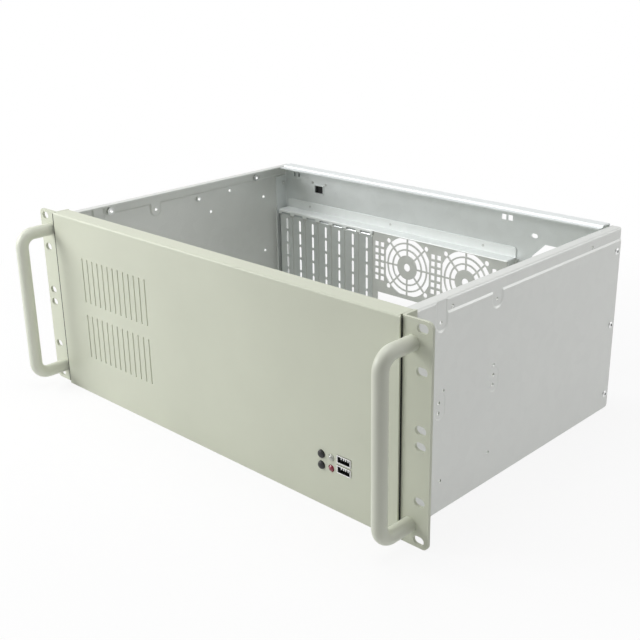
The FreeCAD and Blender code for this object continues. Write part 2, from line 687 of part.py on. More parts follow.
def right_ear():
    """Angle bracket: a slotted plate in the rack plane and a flange on the side wall."""
    path = [(WALL_X, EAR_FLANGE), (WALL_X, 0), (RACK_WIDTH / 2, 0)]
    ear = folded_sheet(path, EAR_SHEET, EAR_BEND, in_xy(0), (0, 0, PANEL_HEIGHT))
    edge = RACK_WIDTH / 2
    tools = []
    for z, sign in ((0, 1), (PANEL_HEIGHT, -1)):
        z1 = z + sign * EAR_CORNER_R
        corner = box(edge - EAR_CORNER_R, edge + 1, -1, EAR_SHEET + 1, min(z - sign, z1), max(z - sign, z1))
        tools.append(corner.cut(rod((edge - EAR_CORNER_R, -2, z1), (0, 1, 0), EAR_CORNER_R, EAR_SHEET + 4)))
    deep = (0, EAR_SHEET + 2, 0)
    slot_x = edge - RACK_HOLE_INSET
    for z in rack_slot_heights():
        tools.append(obround(slot_x, z, RACK_SLOT_LENGTH, RACK_SLOT_WIDTH, in_xz(-1), deep))
    hole_r = HANDLE_SCREW_R + HANDLE_SCREW_CLEARANCE
    for z in handle_heights():
        tools.append(rod((HANDLE_X, -1, z), (0, 1, 0), hole_r, deep[1]))
    for z in EAR_RIVET_Z:
        tools.append(rod((WALL_X - 1, EAR_RIVET_Y, z), (1, 0, 0), RIVET_SHANK_R, EAR_SHEET + 2))
    return ear.cut(tools)


def ear_rivets():
    grip = EAR_SHEET + BODY_SHEET
    return [blind_rivet((EAR_SEAM_X, EAR_RIVET_Y, z), (1, 0, 0), grip) for z in EAR_RIVET_Z]


def right_handle():
    """Round bar bent into a bow, drilled for a screw in each foot."""
    low, high = handle_heights()
    y = HANDLE_AXIS_Y
    bend = HANDLE_BEND_R
    radius = HANDLE_DIAMETER / 2
    x = HANDLE_X
    stretches = [rod((x, y, low + bend), (0, 0, 1), radius, high - low - 2 * bend)]
    for z, sign in ((low, 1), (high, -1)):
        stretches.append(rod((x, 0, z), (0, -1, 0), radius, -y - bend))
        section = Part.Face(Part.Wire([Part.makeCircle(radius, Vector(x, y + bend, z), Vector(0, 1, 0))]))
        stretches.append(section.revolve(Vector(x, y + bend, z + sign * bend), Vector(-sign, 0, 0), 90))
    bar = stretches[0].fuse(stretches[1:]).removeSplitter()
    holes = [
        rod((x, 1, z), (0, -1, 0), HANDLE_SCREW_R, HANDLE_SCREW_DEPTH + 1) for z in (low, high)
    ]
    return bar.cut(holes)


def handle_screws():
    length = EAR_SHEET + HANDLE_SCREW_DEPTH - HANDLE_SCREW_END_GAP
    return [
        pan_screw((HANDLE_X, EAR_SHEET, z), (0, 1, 0), HANDLE_SCREW_HEAD_R, HANDLE_SCREW_HEAD,
                  HANDLE_SCREW_R, length)
        for z in handle_heights()
    ]


# ---------------------------------------------------------------- rear panel
def supply_screw_places():
    """Places of the supply's screws, each with the length of its hole."""
    x = SUPPLY_LEFT_X + SUPPLY_SCREW_INSET
    high = SUPPLY_HIGH_Z + SUPPLY_SCREW_ABOVE
    round_hole = 2 * SUPPLY_SCREW_R
    return [
        (x, high, SUPPLY_SLOT_LENGTH),
        (x + SUPPLY_SCREW_WIDE, high, SUPPLY_SLOT_LENGTH),
        (x, high - SUPPLY_SCREW_TALL, round_hole),
        (x + SUPPLY_SCREW_ODD_X, high - SUPPLY_SCREW_ODD_Z, round_hole),
    ]


def bridge_z():
    return BODY_HEIGHT - BRIDGE_SLOT_DROP


def tie_bridge(sheet, start_y):
    """Raised bridge behind the two cable-tie slots, or its hollow when sheet is given."""
    reach = BRIDGE_SLOT_WIDTH / 2 + BRIDGE_MARGIN - sheet
    left = BRIDGE_SLOT_INSETS[0] - WALL_X - reach
    right = BRIDGE_SLOT_INSETS[1] - WALL_X + reach
    half = BRIDGE_SLOT_HEIGHT / 2 + BRIDGE_MARGIN - sheet
    corners = [
        (left, bridge_z() - half, 1), (right, bridge_z() - half, 1),
        (right, bridge_z() + half, 1), (left, bridge_z() + half, 1),
    ]
    return prism(corners, in_xz(start_y), (0, BODY_DEPTH + BRIDGE_RISE - sheet - start_y, 0))


def socket_opening(margin, y0, y1):
    half_x = SOCKET_WIDTH / 2 + margin
    half_z = SOCKET_HEIGHT / 2 + margin
    return box(SOCKET_X - half_x, SOCKET_X + half_x, y0, y1, SOCKET_Z - half_z, SOCKET_Z + half_z)


def socket_screw_places():
    z = SOCKET_Z + SOCKET_SCREW_RISE
    return ((SOCKET_X - SOCKET_SCREW_STEP, z), (SOCKET_X + SOCKET_SCREW_STEP, z))


def rear_socket():
    """Moulded block screwed behind the small opening of the rear panel."""
    half_x = SOCKET_SCREW_STEP + SOCKET_MARGIN
    low = SOCKET_Z - SOCKET_HEIGHT / 2 - SOCKET_MARGIN / 2
    high = SOCKET_Z + SOCKET_SCREW_RISE + SOCKET_MARGIN
    corners = [
        (SOCKET_X - half_x, low, 1), (SOCKET_X + half_x, low, 1),
        (SOCKET_X + half_x, high, 1), (SOCKET_X - half_x, high, 1),
    ]
    block = prism(corners, in_xz(BODY_DEPTH), (0, SOCKET_BLOCK, 0))
    tools = [socket_opening(0, BODY_DEPTH - 1, BODY_DEPTH + SOCKET_RECESS)]
    for x, z in socket_screw_places():
        tools.append(rod((x, BODY_DEPTH - 1, z), (0, 1, 0), SCREW_R, SOCKET_BLOCK + 2))
    return block.cut(tools)


def socket_screws():
    length = BODY_SHEET + SOCKET_BLOCK
    return [
        pan_screw((x, REAR_INNER_Y, z), (0, -1, 0), SCREW_HEAD_R, SCREW_HEAD, SCREW_R, length)
        for x, z in socket_screw_places()
    ]


def rear_panel():
    """Rear wall with a stepped flange for the lid, side flanges and its cut-outs."""
    y = REAR_INNER_Y
    top_x = WALL_X - TOP_FLANGE - REAR_TOP_GAP
    step_y = BODY_DEPTH - REAR_TOP_FLANGE
    lip_y = step_y - REAR_TOP_SLOPE
    fold = [
        (BODY_DEPTH - REAR_BOTTOM_FLANGE, BODY_SHEET), (BODY_DEPTH, BODY_SHEET),
        (BODY_DEPTH, REAR_TOP_Z), (step_y, REAR_TOP_Z),
        (lip_y, BODY_HEIGHT), (lip_y - REAR_TOP_STEP, BODY_HEIGHT),
    ]
    upright = folded_sheet(fold, BODY_SHEET, BEND, in_yz(-top_x), (2 * top_x, 0, 0))
    wing_x = INNER_X - JOGGLE - REAR_WING_GAP
    wing_top = BODY_HEIGHT - BODY_SHEET - REAR_WING_GAP
    wings = on_both_sides([box(top_x - 1, wing_x, y, BODY_DEPTH, BAND_LOW_Z - BODY_SHEET, wing_top)])
    side_y = BODY_DEPTH - REAR_SIDE_FLANGE
    wide = [(-INNER_X, side_y), (-INNER_X, BODY_DEPTH), (INNER_X, BODY_DEPTH), (INNER_X, side_y)]
    low = 2 * BODY_SHEET
    side_rise = BODY_HEIGHT - REAR_SIDE_FLANGE_DROP - low
    sides = folded_sheet(wide[::-1], BODY_SHEET, BEND, in_xy(low), (0, 0, side_rise))
    collar = socket_opening(SOCKET_COLLAR, y - SOCKET_COLLAR_RISE, y)
    panel = upright.fuse([sides, tie_bridge(0, y), collar] + wings)
    panel = panel.cut(tie_bridge(BRIDGE_SHEET, BODY_DEPTH))
    panel = panel.cut(box(-top_x - 1, top_x + 1, side_y - 1, BODY_DEPTH + 1, -1, BODY_SHEET - 1e-6))
    depth = (0, BODY_SHEET + 2, 0)
    behind = y - 1
    window_left = BULKHEAD_LEFT_X + WINDOW_MARGIN
    window_right = BULKHEAD_RIGHT_X - WINDOW_MARGIN
    tools = [box(window_left, window_right, behind, BODY_DEPTH + 1, WINDOW_SILL_Z, GUARD_LOW_Z)]
    c = SUPPLY_CHAMFER
    outline = [
        (SUPPLY_LEFT_X + c, SUPPLY_LOW_Z), (SUPPLY_RIGHT_X - c, SUPPLY_LOW_Z),
        (SUPPLY_RIGHT_X, SUPPLY_LOW_Z + c), (SUPPLY_RIGHT_X, SUPPLY_HIGH_Z - c),
        (SUPPLY_RIGHT_X - c, SUPPLY_HIGH_Z), (SUPPLY_LEFT_X + c, SUPPLY_HIGH_Z),
        (SUPPLY_LEFT_X, SUPPLY_HIGH_Z - c), (SUPPLY_LEFT_X, SUPPLY_LOW_Z + c),
    ]
    tools.append(prism([(u, v, 0) for u, v in outline], in_xz(behind), depth))
    for x, z, length in supply_screw_places():
        tools.append(obround(x, z, length, 2 * SUPPLY_SCREW_R, in_xz(behind), depth))
    for inset in BRIDGE_SLOT_INSETS:
        x = inset - WALL_X
        tools.append(obround(x, bridge_z(), BRIDGE_SLOT_WIDTH, BRIDGE_SLOT_HEIGHT, in_xz(behind), depth))
    tools.append(socket_opening(0, y - SOCKET_COLLAR_RISE - 1, BODY_DEPTH + 1))
    for x, z in socket_screw_places():
        tools.append(rod((x, behind, z), (0, 1, 0), SCREW_R + SCREW_CLEARANCE, depth[1]))
    half = LATCH_HOLE / 2
    for inset in LATCH_HOLE_INSETS:
        x = WALL_X - inset
        z = BODY_HEIGHT - LATCH_HOLE_DROP
        tools.append(box(x - half, x + half, behind, BODY_DEPTH + 1, z - half, z + half))
    for x in guard_screw_places():
        tools.append(rod((x, behind, GUARD_SCREW_Z), (0, 1, 0), SCREW_R + SCREW_CLEARANCE, depth[1]))
    through = INNER_X - BODY_SHEET - 1
    for z in REAR_RIVET_Z:
        tool = rod((through, BODY_DEPTH - REAR_RIVET_INSET, z), (1, 0, 0), RIVET_SHANK_R, BODY_SHEET + 2)
        tools += on_both_sides([tool])
    return panel.cut(tools).removeSplitter()


def rear_rivets():
    grip = 2 * BODY_SHEET
    y = BODY_DEPTH - REAR_RIVET_INSET
    rivets = [blind_rivet((WALL_X, y, z), (1, 0, 0), grip) for z in REAR_RIVET_Z]
    return on_both_sides(rivets)


# ---------------------------------------------------------------- input and output bulkhead
def slot_centres():
    return [SLOT_FIRST_X + k * SLOT_PITCH for k in range(SLOT_COUNT)]


def guard_screw_places():
    first = BULKHEAD_LEFT_X + GUARD_SCREW_FIRST
    return [first + k * GUARD_SCREW_PITCH for k in range(GUARD_SCREW_COUNT)]


def bulkhead_foot_places():
    first = BULKHEAD_LEFT_X + FOOT_RIVET_INSET
    last = BULKHEAD_RIGHT_X - FOOT_RIVET_INSET
    step = (last - first) / (FOOT_RIVET_COUNT - 1)
    return [first + k * step for k in range(FOOT_RIVET_COUNT)]


def bulkhead_foot_y():
    return BULKHEAD_FACE_Y - BULKHEAD_FOOT / 2


def ring_slot(inner, outer, middle_angle):
    """Curved slot between two spokes, as a face about the zero point."""
    half = math.pi / FAN_SPOKES

    def at(radius, side):
        trim = math.asin(FAN_RING_BAR / 2 / radius)
        angle = middle_angle + side * (half - trim)
        return Vector(radius * math.cos(angle), 0, radius * math.sin(angle))

    def halfway(radius):
        return Vector(radius * math.cos(middle_angle), 0, radius * math.sin(middle_angle))

    wire = Part.Wire([
        Part.Arc(at(inner, -1), halfway(inner), at(inner, 1)).toShape(),
        Part.makeLine(at(inner, 1), at(outer, 1)),
        Part.Arc(at(outer, 1), halfway(outer), at(outer, -1)).toShape(),
        Part.makeLine(at(outer, -1), at(inner, -1)),
    ])
    return Part.Face(wire)


def fan_grille(x, y, depth):
    """Cutting tools for one grille with its four screw holes."""
    band = (FAN_GRILLE_R - FAN_HUB_R + FAN_RING_BAR) / FAN_RING_COUNT
    half_x = FAN_GRILLE_HALF_WIDTH
    half_z = FAN_GRILLE_HALF_HEIGHT
    limit = box(-half_x, half_x, -1, depth + 1, -half_z, half_z)
    tools = []
    for ring in range(FAN_RING_COUNT):
        inner = FAN_HUB_R + ring * band
        outer = inner + band - FAN_RING_BAR
        for k in range(FAN_SPOKES):
            angle = (k + 0.5) * 2 * math.pi / FAN_SPOKES
            slot = ring_slot(inner, outer, angle).extrude(Vector(0, depth, 0))
            if outer > min(half_x, half_z):
                slot = slot.common(limit)
            tools.append(slot)
    half = FAN_HOLE_SPACING / 2
    for u in (-half, half):
        for v in (-half, half):
            tools.append(rod((u, 0, v), (0, 1, 0), FAN_HOLE_R, depth))
    tools.append(rod((0, 0, 0), (0, 1, 0), FAN_HUB_HOLE_R, depth))
    for tool in tools:
        tool.translate(Vector(x, y, FAN_Z))
    return tools


def io_bulkhead():
    """Pressed pan with the card openings, two fan grilles and the board opening."""
    y = BULKHEAD_FACE_Y
    left = BULKHEAD_LEFT_X
    right = BULKHEAD_RIGHT_X
    hem_y = REAR_INNER_Y - BULKHEAD_SHEET
    hat = [
        (left - BULKHEAD_HEM, hem_y), (left, hem_y), (left, y),
        (right, y), (right, hem_y), (right + BULKHEAD_HEM, hem_y),
    ]
    low = 2 * BODY_SHEET + BEND
    pan = folded_sheet(hat, BULKHEAD_SHEET, BULKHEAD_BEND, in_xy(low), (0, 0, GUARD_LOW_Z - low))
    step_x = GUARD_EDGE_X
    pan = pan.cut(box(left - BULKHEAD_HEM - 1, step_x, y - 1, BODY_DEPTH, BULKHEAD_TOP_Z, GUARD_LOW_Z + 1))
    heel_y = y + BULKHEAD_SHEET
    fold = [(y - BULKHEAD_FOOT, BODY_SHEET), (heel_y, BODY_SHEET), (heel_y, low + BULKHEAD_SHEET)]
    foot_x = left + BULKHEAD_FOOT_END
    foot_length = right - left - 2 * BULKHEAD_FOOT_END
    foot = folded_sheet(fold, BULKHEAD_SHEET, BULKHEAD_BEND, in_yz(foot_x), (foot_length, 0, 0))
    shelf = box(left, step_x, y, REAR_INNER_Y, BULKHEAD_TOP_Z - BULKHEAD_SHEET, BULKHEAD_TOP_Z)
    pan = pan.fuse([foot, shelf])
    before = y - 1
    depth = BULKHEAD_SHEET + 2
    shelf_low = BULKHEAD_TOP_Z - BULKHEAD_SHEET
    edge_r = COVER_BEND
    edge_z = BULKHEAD_TOP_Z - edge_r
    edge = box(left - 1, step_x, y - 1, y + edge_r, edge_z, BULKHEAD_TOP_Z + 1)
    tools = [edge.cut(rod((left - 2, y + edge_r, edge_z), (1, 0, 0), edge_r, step_x - left + 4))]
    for x in slot_centres():
        half = SLOT_OPENING_WIDTH / 2
        tools.append(box(x - half, x + half, before, before + depth, SLOT_OPENING_LOW_Z, shelf_low))
        tools.append(rod((x, cover_screw_y(), shelf_low - 1), (0, 0, 1), SCREW_R, BULKHEAD_SHEET + 2))
    for x in FAN_CENTRES_X:
        tools += fan_grille(x, before, depth)
    pairs = [FAN_CENTRES_X[0] - SQUARE_PAIR_OFFSET]
    pairs += [x + SQUARE_PAIR_OFFSET for x in FAN_CENTRES_X]
    half = SQUARE_HOLE / 2
    for middle in pairs:
        for x in (middle - SQUARE_HOLE_PITCH_X / 2, middle + SQUARE_HOLE_PITCH_X / 2):
            for row in range(SQUARE_HOLE_ROWS):
                z = SQUARE_HOLE_TOP_Z - row * SQUARE_HOLE_PITCH_Z
                tools.append(box(x - half, x + half, before, before + depth, z - half, z + half))
    opening_low = BOARD_OPENING_TOP_Z - BOARD_OPENING_HEIGHT
    opening_x = (BOARD_OPENING_LEFT_X, BOARD_OPENING_RIGHT_X)
    tools.append(box(*opening_x, before, before + depth, opening_low, BOARD_OPENING_TOP_Z))
    for x in bulkhead_foot_places():
        tools.append(rod((x, bulkhead_foot_y(), 0), (0, 0, 1), RIVET_SHANK_R, 4))
    return pan.cut(tools).removeSplitter()


def foot_rivets():
    """Rivets set flush with the underside of the floor."""
    seat_z = BODY_SHEET + BULKHEAD_SHEET
    outline = [
        (0, -seat_z), (RIVET_SHANK_R, -seat_z), (RIVET_SHANK_R, 0), (RIVET_HEAD_R, 0),
        (RIVET_HEAD_R * 0.7, RIVET_HEAD), (0, RIVET_HEAD),
    ]
    return [turned(outline, (x, bulkhead_foot_y(), seat_z), (0, 0, 1)) for x in bulkhead_foot_places()]


def slot_guard():
    """Ledge over the card tabs, turned up at the rear panel and windowed at the front."""
    y = GUARD_FRONT_Y
    fold = [
        (y, BULKHEAD_TOP_Z), (y, GUARD_LEDGE_Z),
        (REAR_INNER_Y - BULKHEAD_SHEET, GUARD_LEDGE_Z), (REAR_INNER_Y - BULKHEAD_SHEET, GUARD_TOP_Z),
    ]
    left = BULKHEAD_LEFT_X
    right = BULKHEAD_RIGHT_X
    guard = folded_sheet(fold[::-1], BULKHEAD_SHEET, BULKHEAD_BEND, in_yz(left), (right - left, 0, 0))
    tools = []
    r = GUARD_CORNER_R
    flange_y = REAR_INNER_Y - BULKHEAD_SHEET
    corner_z = GUARD_TOP_Z - r
    for x, sign in ((left, 1), (right, -1)):
        x1 = x + sign * r
        ends = sorted((x - sign, x1))
        corner = box(*ends, flange_y - 1, REAR_INNER_Y + 1, corner_z, GUARD_TOP_Z + 1)
        tools.append(corner.cut(rod((x1, flange_y - 2, corner_z), (0, 1, 0), r, BULKHEAD_SHEET + 4)))
    tools.append(box(GUARD_EDGE_X, right + 1, y - 1, y + GUARD_FLANGE, BULKHEAD_TOP_Z - 1, GUARD_LOW_Z))
    half = GUARD_WINDOW_WIDTH / 2
    for x in slot_centres():
        z = BULKHEAD_TOP_Z
        tools.append(box(x - half, x + half, y - 1, y + BULKHEAD_SHEET + 0.5, z - 1, z + GUARD_WINDOW_HEIGHT))
    hole_r = SCREW_R + SCREW_CLEARANCE
    for x in guard_screw_places():
        tools.append(rod((x, flange_y - 1, GUARD_SCREW_Z), (0, 1, 0), hole_r, BULKHEAD_SHEET + 2))
    return guard.cut(tools).removeSplitter()


def guard_screws():
    seat_y = REAR_INNER_Y - BULKHEAD_SHEET
    length = BULKHEAD_SHEET + BODY_SHEET + SCREW_TAIL
    return [
        pan_screw((x, seat_y, GUARD_SCREW_Z), (0, -1, 0), SCREW_HEAD_R, SCREW_HEAD, SCREW_R, length)
        for x in guard_screw_places()
    ]


# ---------------------------------------------------------------- slot covers
def cover_screw_y():
    return BULKHEAD_BACK_Y + COVER_TAB / 2


def slot_cover(x):
    """Perforated blanking strip with a screw tab at the top and a toe at the foot."""
    y = COVER_FACE_Y
    top = BULKHEAD_TOP_Z + COVER_SHEET
    tab_end = BULKHEAD_BACK_Y + COVER_TAB
    fold = [(y, COVER_LOW_Z), (y, top), (tab_end, top)]
    cover = folded_sheet(fold[::-1], COVER_SHEET, COVER_BEND, in_yz(x - COVER_WIDTH / 2), (COVER_WIDTH, 0, 0))
    tools = []
    for sign in (-1, 1):
        outer = x + sign * (COVER_WIDTH / 2 + 1)
        tab = x + sign * COVER_TAB_WIDTH / 2
        tools.append(box(*sorted((outer, tab)), y - 1, tab_end + 1, BULKHEAD_TOP_Z - 2, top + 1))
        toe = x + sign * COVER_TOE_WIDTH / 2
        toe_top = COVER_LOW_Z + COVER_TOE_HEIGHT
        tools.append(box(*sorted((outer, toe)), y - 1, y + 2, COVER_LOW_Z - 1, toe_top))
    for k in range(PERFORATION_COUNT):
        z = PERFORATION_TOP_Z - PERFORATION_LENGTH / 2 - k * PERFORATION_PITCH
        hole_x = x + PERFORATION_OFFSET_X
        tools.append(obround(hole_x, z, PERFORATION_WIDTH, PERFORATION_LENGTH, in_xz(y - 1), (0, 3, 0)))
    hole_r = SCREW_R + SCREW_CLEARANCE
    tools.append(rod((x, cover_screw_y(), top - 2), (0, 0, 1), hole_r, COVER_SHEET + 3))
    return cover.cut(tools).removeSplitter()


def cover_screws():
    seat_z = BULKHEAD_TOP_Z + COVER_SHEET
    length = COVER_SHEET + BULKHEAD_SHEET + SCREW_TAIL
    return [
        pan_screw((x, cover_screw_y(), seat_z), (0, 0, 1), SCREW_HEAD_R, SCREW_HEAD, SCREW_R, length)
        for x in slot_centres()
    ]


# ---------------------------------------------------------------- board standoffs and lid nuts
def board_standoffs():
    return [
        hexagon((x, y, BODY_SHEET), (0, 0, 1), STANDOFF_ACROSS, STANDOFF_HEIGHT, STANDOFF_BORE_R)
        for x, y in standoff_places()
    ]


def lid_nuts():
    """Round clinch nuts pressed into the inside of the upper bands and of the left wall."""
    face_x = INNER_X - JOGGLE
    nuts = []
    for y in LID_NUT_Y:
        nut = rod((face_x - LID_NUT_HEIGHT, y, LID_NUT_Z), (1, 0, 0), LID_NUT_R, LID_NUT_HEIGHT)
        bore = rod((face_x - LID_NUT_HEIGHT - 1, y, LID_NUT_Z), (1, 0, 0), LID_NUT_BORE_R, LID_NUT_HEIGHT + 2)
        nuts.append(nut.cut(bore))
    y, z = STUD_NUT_PLACE
    ring = rod((-INNER_X, y, z), (1, 0, 0), STUD_NUT_R, LID_NUT_HEIGHT)
    bore = rod((-INNER_X - 1, y, z), (1, 0, 0), SMALL_HOLE_R, LID_NUT_HEIGHT + 2)
    return on_both_sides(nuts) + [ring.cut(bore)]


# ---------------------------------------------------------------- controls
def control_posts():
    low = CONTROL_LOW_Z - CONTROL_BOARD_MARGIN
    high = CONTROL_LOW_Z + CONTROL_POST_RISE
    return ((BUTTON_X + CONTROL_POST_OFFSET, high), (LAMP_X, low))


def button(z):
    """Moulded cap with its stem, turned from one outline."""
    front = FASCIA_FRONT_Y - BUTTON_PROUD
    rim = BUTTON_PROUD + FASCIA_SHEET + BUTTON_RIM_GAP
    end = CONTROL_BOARD_Y - SWITCH_DEPTH + BUTTON_STEM_IN - front
    rim_r = BUTTON_R + BUTTON_RIM
    angles = [math.radians(degrees) for degrees in range(0, 91, 15)]
    dome = [(BUTTON_R * math.sin(angle), BUTTON_DOME * (1 - math.cos(angle))) for angle in angles]
    outline = dome + [
        (BUTTON_R, rim), (rim_r, rim), (rim_r, BUTTON_CAP),
        (BUTTON_STEM_R, BUTTON_CAP), (BUTTON_STEM_R, end), (0, end),
    ]
    return turned(outline, (BUTTON_X, front, z), (0, 1, 0))


def switch_body(z):
    """Push switch on the control board, bored for the button's stem."""
    half = SWITCH_SIDE / 2
    front = CONTROL_BOARD_Y - SWITCH_DEPTH
    body = box(BUTTON_X - half, BUTTON_X + half, front, CONTROL_BOARD_Y, z - half, z + half)
    bore = rod((BUTTON_X, front - 1, z), (0, 1, 0), BUTTON_STEM_R + BUTTON_STEM_CLEARANCE, SWITCH_BORE + 1)
    return body.cut(bore)


def lamp(z):
    """Round indicator lamp with a rim and two leads."""
    front = FASCIA_FRONT_Y - LAMP_PROUD
    r = LAMP_R
    outline = [
        (0, 0), (r * 0.5, 0.3), (r * 0.87, 1.1), (r, r), (r, LAMP_LENGTH - LAMP_RIM_SHEET),
        (r + LAMP_RIM, LAMP_LENGTH - LAMP_RIM_SHEET), (r + LAMP_RIM, LAMP_LENGTH), (0, LAMP_LENGTH),
    ]
    body = turned(outline, (LAMP_X, front, z), (0, 1, 0))
    lead_y = front + LAMP_LENGTH - LAMP_ROOT
    half = LAMP_LEAD / 2
    leads = [
        box(LAMP_X + dx - half, LAMP_X + dx + half, lead_y, CONTROL_BOARD_Y, z - half, z + half)
        for dx in (-LAMP_LEAD_STEP / 2, LAMP_LEAD_STEP / 2)
    ]
    return body.fuse(leads)


def port_shell(z):
    """Folded metal shell of a data port."""
    front = FASCIA_FRONT_Y - PORT_PROUD
    half_x = PORT_WIDTH / 2
    half_z = PORT_HEIGHT / 2
    r = PORT_CORNER_R
    outer = [
        (PORT_X - half_x, z - half_z, r), (PORT_X + half_x, z - half_z, r),
        (PORT_X + half_x, z + half_z, r), (PORT_X - half_x, z + half_z, r),
    ]
    shell = prism(outer, in_xz(front), (0, CONTROL_BOARD_Y - front, 0))
    wall = PORT_WALL
    hollow = box(
        PORT_X - half_x + wall, PORT_X + half_x - wall, front - 1, CONTROL_BOARD_Y - wall,
        z - half_z + wall, z + half_z - wall,
    )
    return shell.cut(hollow)


def port_tongue(z):
    """Insulator block at the back of a port with the contact tongue on it."""
    front = FASCIA_FRONT_Y
    half_x = PORT_WIDTH / 2 - PORT_WALL
    half_z = PORT_HEIGHT / 2 - PORT_WALL
    back = CONTROL_BOARD_Y - PORT_WALL
    base = box(PORT_X - half_x, PORT_X + half_x, back - PORT_BASE, back, z - half_z, z + half_z)
    side = half_x - PORT_TONGUE_SIDE
    top = z + half_z - PORT_TONGUE_DROP
    tongue = box(PORT_X - side, PORT_X + side, front + PORT_TONGUE_SINK, back, top - PORT_TONGUE, top)
    return base.fuse(tongue).removeSplitter()


def control_board():
    """Small circuit board that carries the switches, lamps and ports."""
    margin = CONTROL_BOARD_MARGIN
    left = BUTTON_X - margin
    right = PORT_X + PORT_WIDTH / 2 + margin / 2
    low = CONTROL_LOW_Z - margin - CONTROL_POST_R - CONTROL_BOARD_RIM
    high = CONTROL_LOW_Z + CONTROL_POST_RISE + CONTROL_POST_R + CONTROL_BOARD_RIM
    y = CONTROL_BOARD_Y
    board = box(left, right, y, y + CONTROL_BOARD_SHEET, low, high)
    hole_r = SCREW_R + SCREW_CLEARANCE
    holes = [rod((x, y - 1, z), (0, 1, 0), hole_r, CONTROL_BOARD_SHEET + 2) for x, z in control_posts()]
    return board.cut(holes)


def board_screws():
    seat_y = CONTROL_BOARD_Y + CONTROL_BOARD_SHEET
    length = CONTROL_BOARD_SHEET + CONTROL_SCREW_GRIP
    return [
        pan_screw((x, seat_y, z), (0, 1, 0), SCREW_HEAD_R, SCREW_HEAD, SCREW_R, length)
        for x, z in control_posts()
    ]


# ---------------------------------------------------------------- all pieces
def build():
    os.makedirs("parts", exist_ok=True)
    save("chassis_tray", chassis_tray())
    save("fascia", fascia())
    save("fascia_nuts", *fascia_nuts())
    ear = right_ear()
    handle = right_handle()
    rivets = ear_rivets()
    screws = handle_screws()
    save("right_ear", ear)
    save("left_ear", mirrored(ear))
    save("right_ear_rivets", *rivets)
    save("left_ear_rivets", *[mirrored(piece) for piece in rivets])
    save("right_handle", handle)
    save("left_handle", mirrored(handle))
    save("right_handle_screws", *screws)
    save("left_handle_screws", *[mirrored(piece) for piece in screws])
    save("rear_panel", rear_panel())
    save("rear_rivets", *rear_rivets())
    save("rear_socket", rear_socket())
    save("socket_screws", *socket_screws())
    save("io_bulkhead", io_bulkhead())
    save("foot_rivets", *foot_rivets())
    save("slot_guard", slot_guard())
    save("guard_screws", *guard_screws())
    for number, x in enumerate(slot_centres(), start=1):
        save("slot_cover_" + str(number), slot_cover(x))
    save("cover_screws", *cover_screws())
    save("board_standoffs", *board_standoffs())
    save("lid_nuts", *lid_nuts())
    save("power_button", button(BUTTON_Z[1]))
    save("reset_button", button(BUTTON_Z[0]))
    save("power_switch", switch_body(BUTTON_Z[1]))
    save("reset_switch", switch_body(BUTTON_Z[0]))
    save("power_lamp", lamp(LAMP_Z[1]))
    save("disk_lamp", lamp(LAMP_Z[0]))
    save("upper_port_shell", port_shell(PORT_Z[1]))
    save("lower_port_shell", port_shell(PORT_Z[0]))
    save("upper_port_tongue", port_tongue(PORT_Z[1]))
    save("lower_port_tongue", port_tongue(PORT_Z[0]))
    save("control_board", control_board())
    save("board_screws", *board_screws())


build()
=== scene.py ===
"""Finishes, small hardware and stage for an empty rack-mount server case."""

import math

import bmesh
import bpy
from bpy.props import FloatProperty, FloatVectorProperty, IntProperty, PointerProperty
from bpy.types import Operator, Panel, PropertyGroup
from mathutils import Matrix, Vector


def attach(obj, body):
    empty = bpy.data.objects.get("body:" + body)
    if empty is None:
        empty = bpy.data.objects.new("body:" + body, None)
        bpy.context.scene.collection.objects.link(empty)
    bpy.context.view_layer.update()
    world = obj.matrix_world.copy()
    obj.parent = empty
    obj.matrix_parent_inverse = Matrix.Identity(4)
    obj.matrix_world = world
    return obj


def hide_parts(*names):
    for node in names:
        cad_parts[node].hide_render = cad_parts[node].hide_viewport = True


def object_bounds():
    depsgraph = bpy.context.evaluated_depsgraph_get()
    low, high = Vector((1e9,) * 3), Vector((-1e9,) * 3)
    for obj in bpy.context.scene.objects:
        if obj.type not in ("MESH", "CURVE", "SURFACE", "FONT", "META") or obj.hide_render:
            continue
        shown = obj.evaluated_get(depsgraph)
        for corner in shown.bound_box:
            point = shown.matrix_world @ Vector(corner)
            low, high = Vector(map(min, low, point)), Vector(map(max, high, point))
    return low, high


bl_info = {
    "name": "Rack Server Case",
    "version": (1, 0, 0),
    "blender": (4, 5, 0),
    "location": "3D View > Sidebar > Server Case",
    "description": "Finishes, hardware and stage for an empty rack-mount server case",
    "category": "Object",
}

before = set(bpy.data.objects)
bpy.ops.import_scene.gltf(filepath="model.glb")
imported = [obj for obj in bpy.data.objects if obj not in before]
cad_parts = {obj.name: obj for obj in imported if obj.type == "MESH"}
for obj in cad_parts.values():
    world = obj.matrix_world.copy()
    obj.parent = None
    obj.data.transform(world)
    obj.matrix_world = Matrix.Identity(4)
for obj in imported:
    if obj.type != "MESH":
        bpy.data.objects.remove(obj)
CASE_LOW, CASE_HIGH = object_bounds()
CASE_BODY = "case"
MM = 0.001

COATED = ("fascia", "right_ear", "left_ear")
HANDLES = ("right_handle", "left_handle")
SLOT_COVERS = tuple(f"slot_cover_{number}" for number in range(1, 8))
PLAIN_SHEET = ("chassis_tray", "io_bulkhead")

# Screws: node, way that its heads look, size of its heads beside the common ones.
HANDLE_HEAD_SCALE = 3.8 / 2.9
SCREW_GROUPS = (
    ("guard_screws", (0, -1, 0), 1.0),
    ("cover_screws", (0, 0, 1), 1.0),
    ("socket_screws", (0, -1, 0), 1.0),
    ("board_screws", (0, 1, 0), 1.0),
    ("right_handle_screws", (0, 1, 0), HANDLE_HEAD_SCALE),
    ("left_handle_screws", (0, 1, 0), HANDLE_HEAD_SCALE),
)
RIVET_GROUPS = ("rear_rivets", "right_ear_rivets", "left_ear_rivets", "foot_rivets")

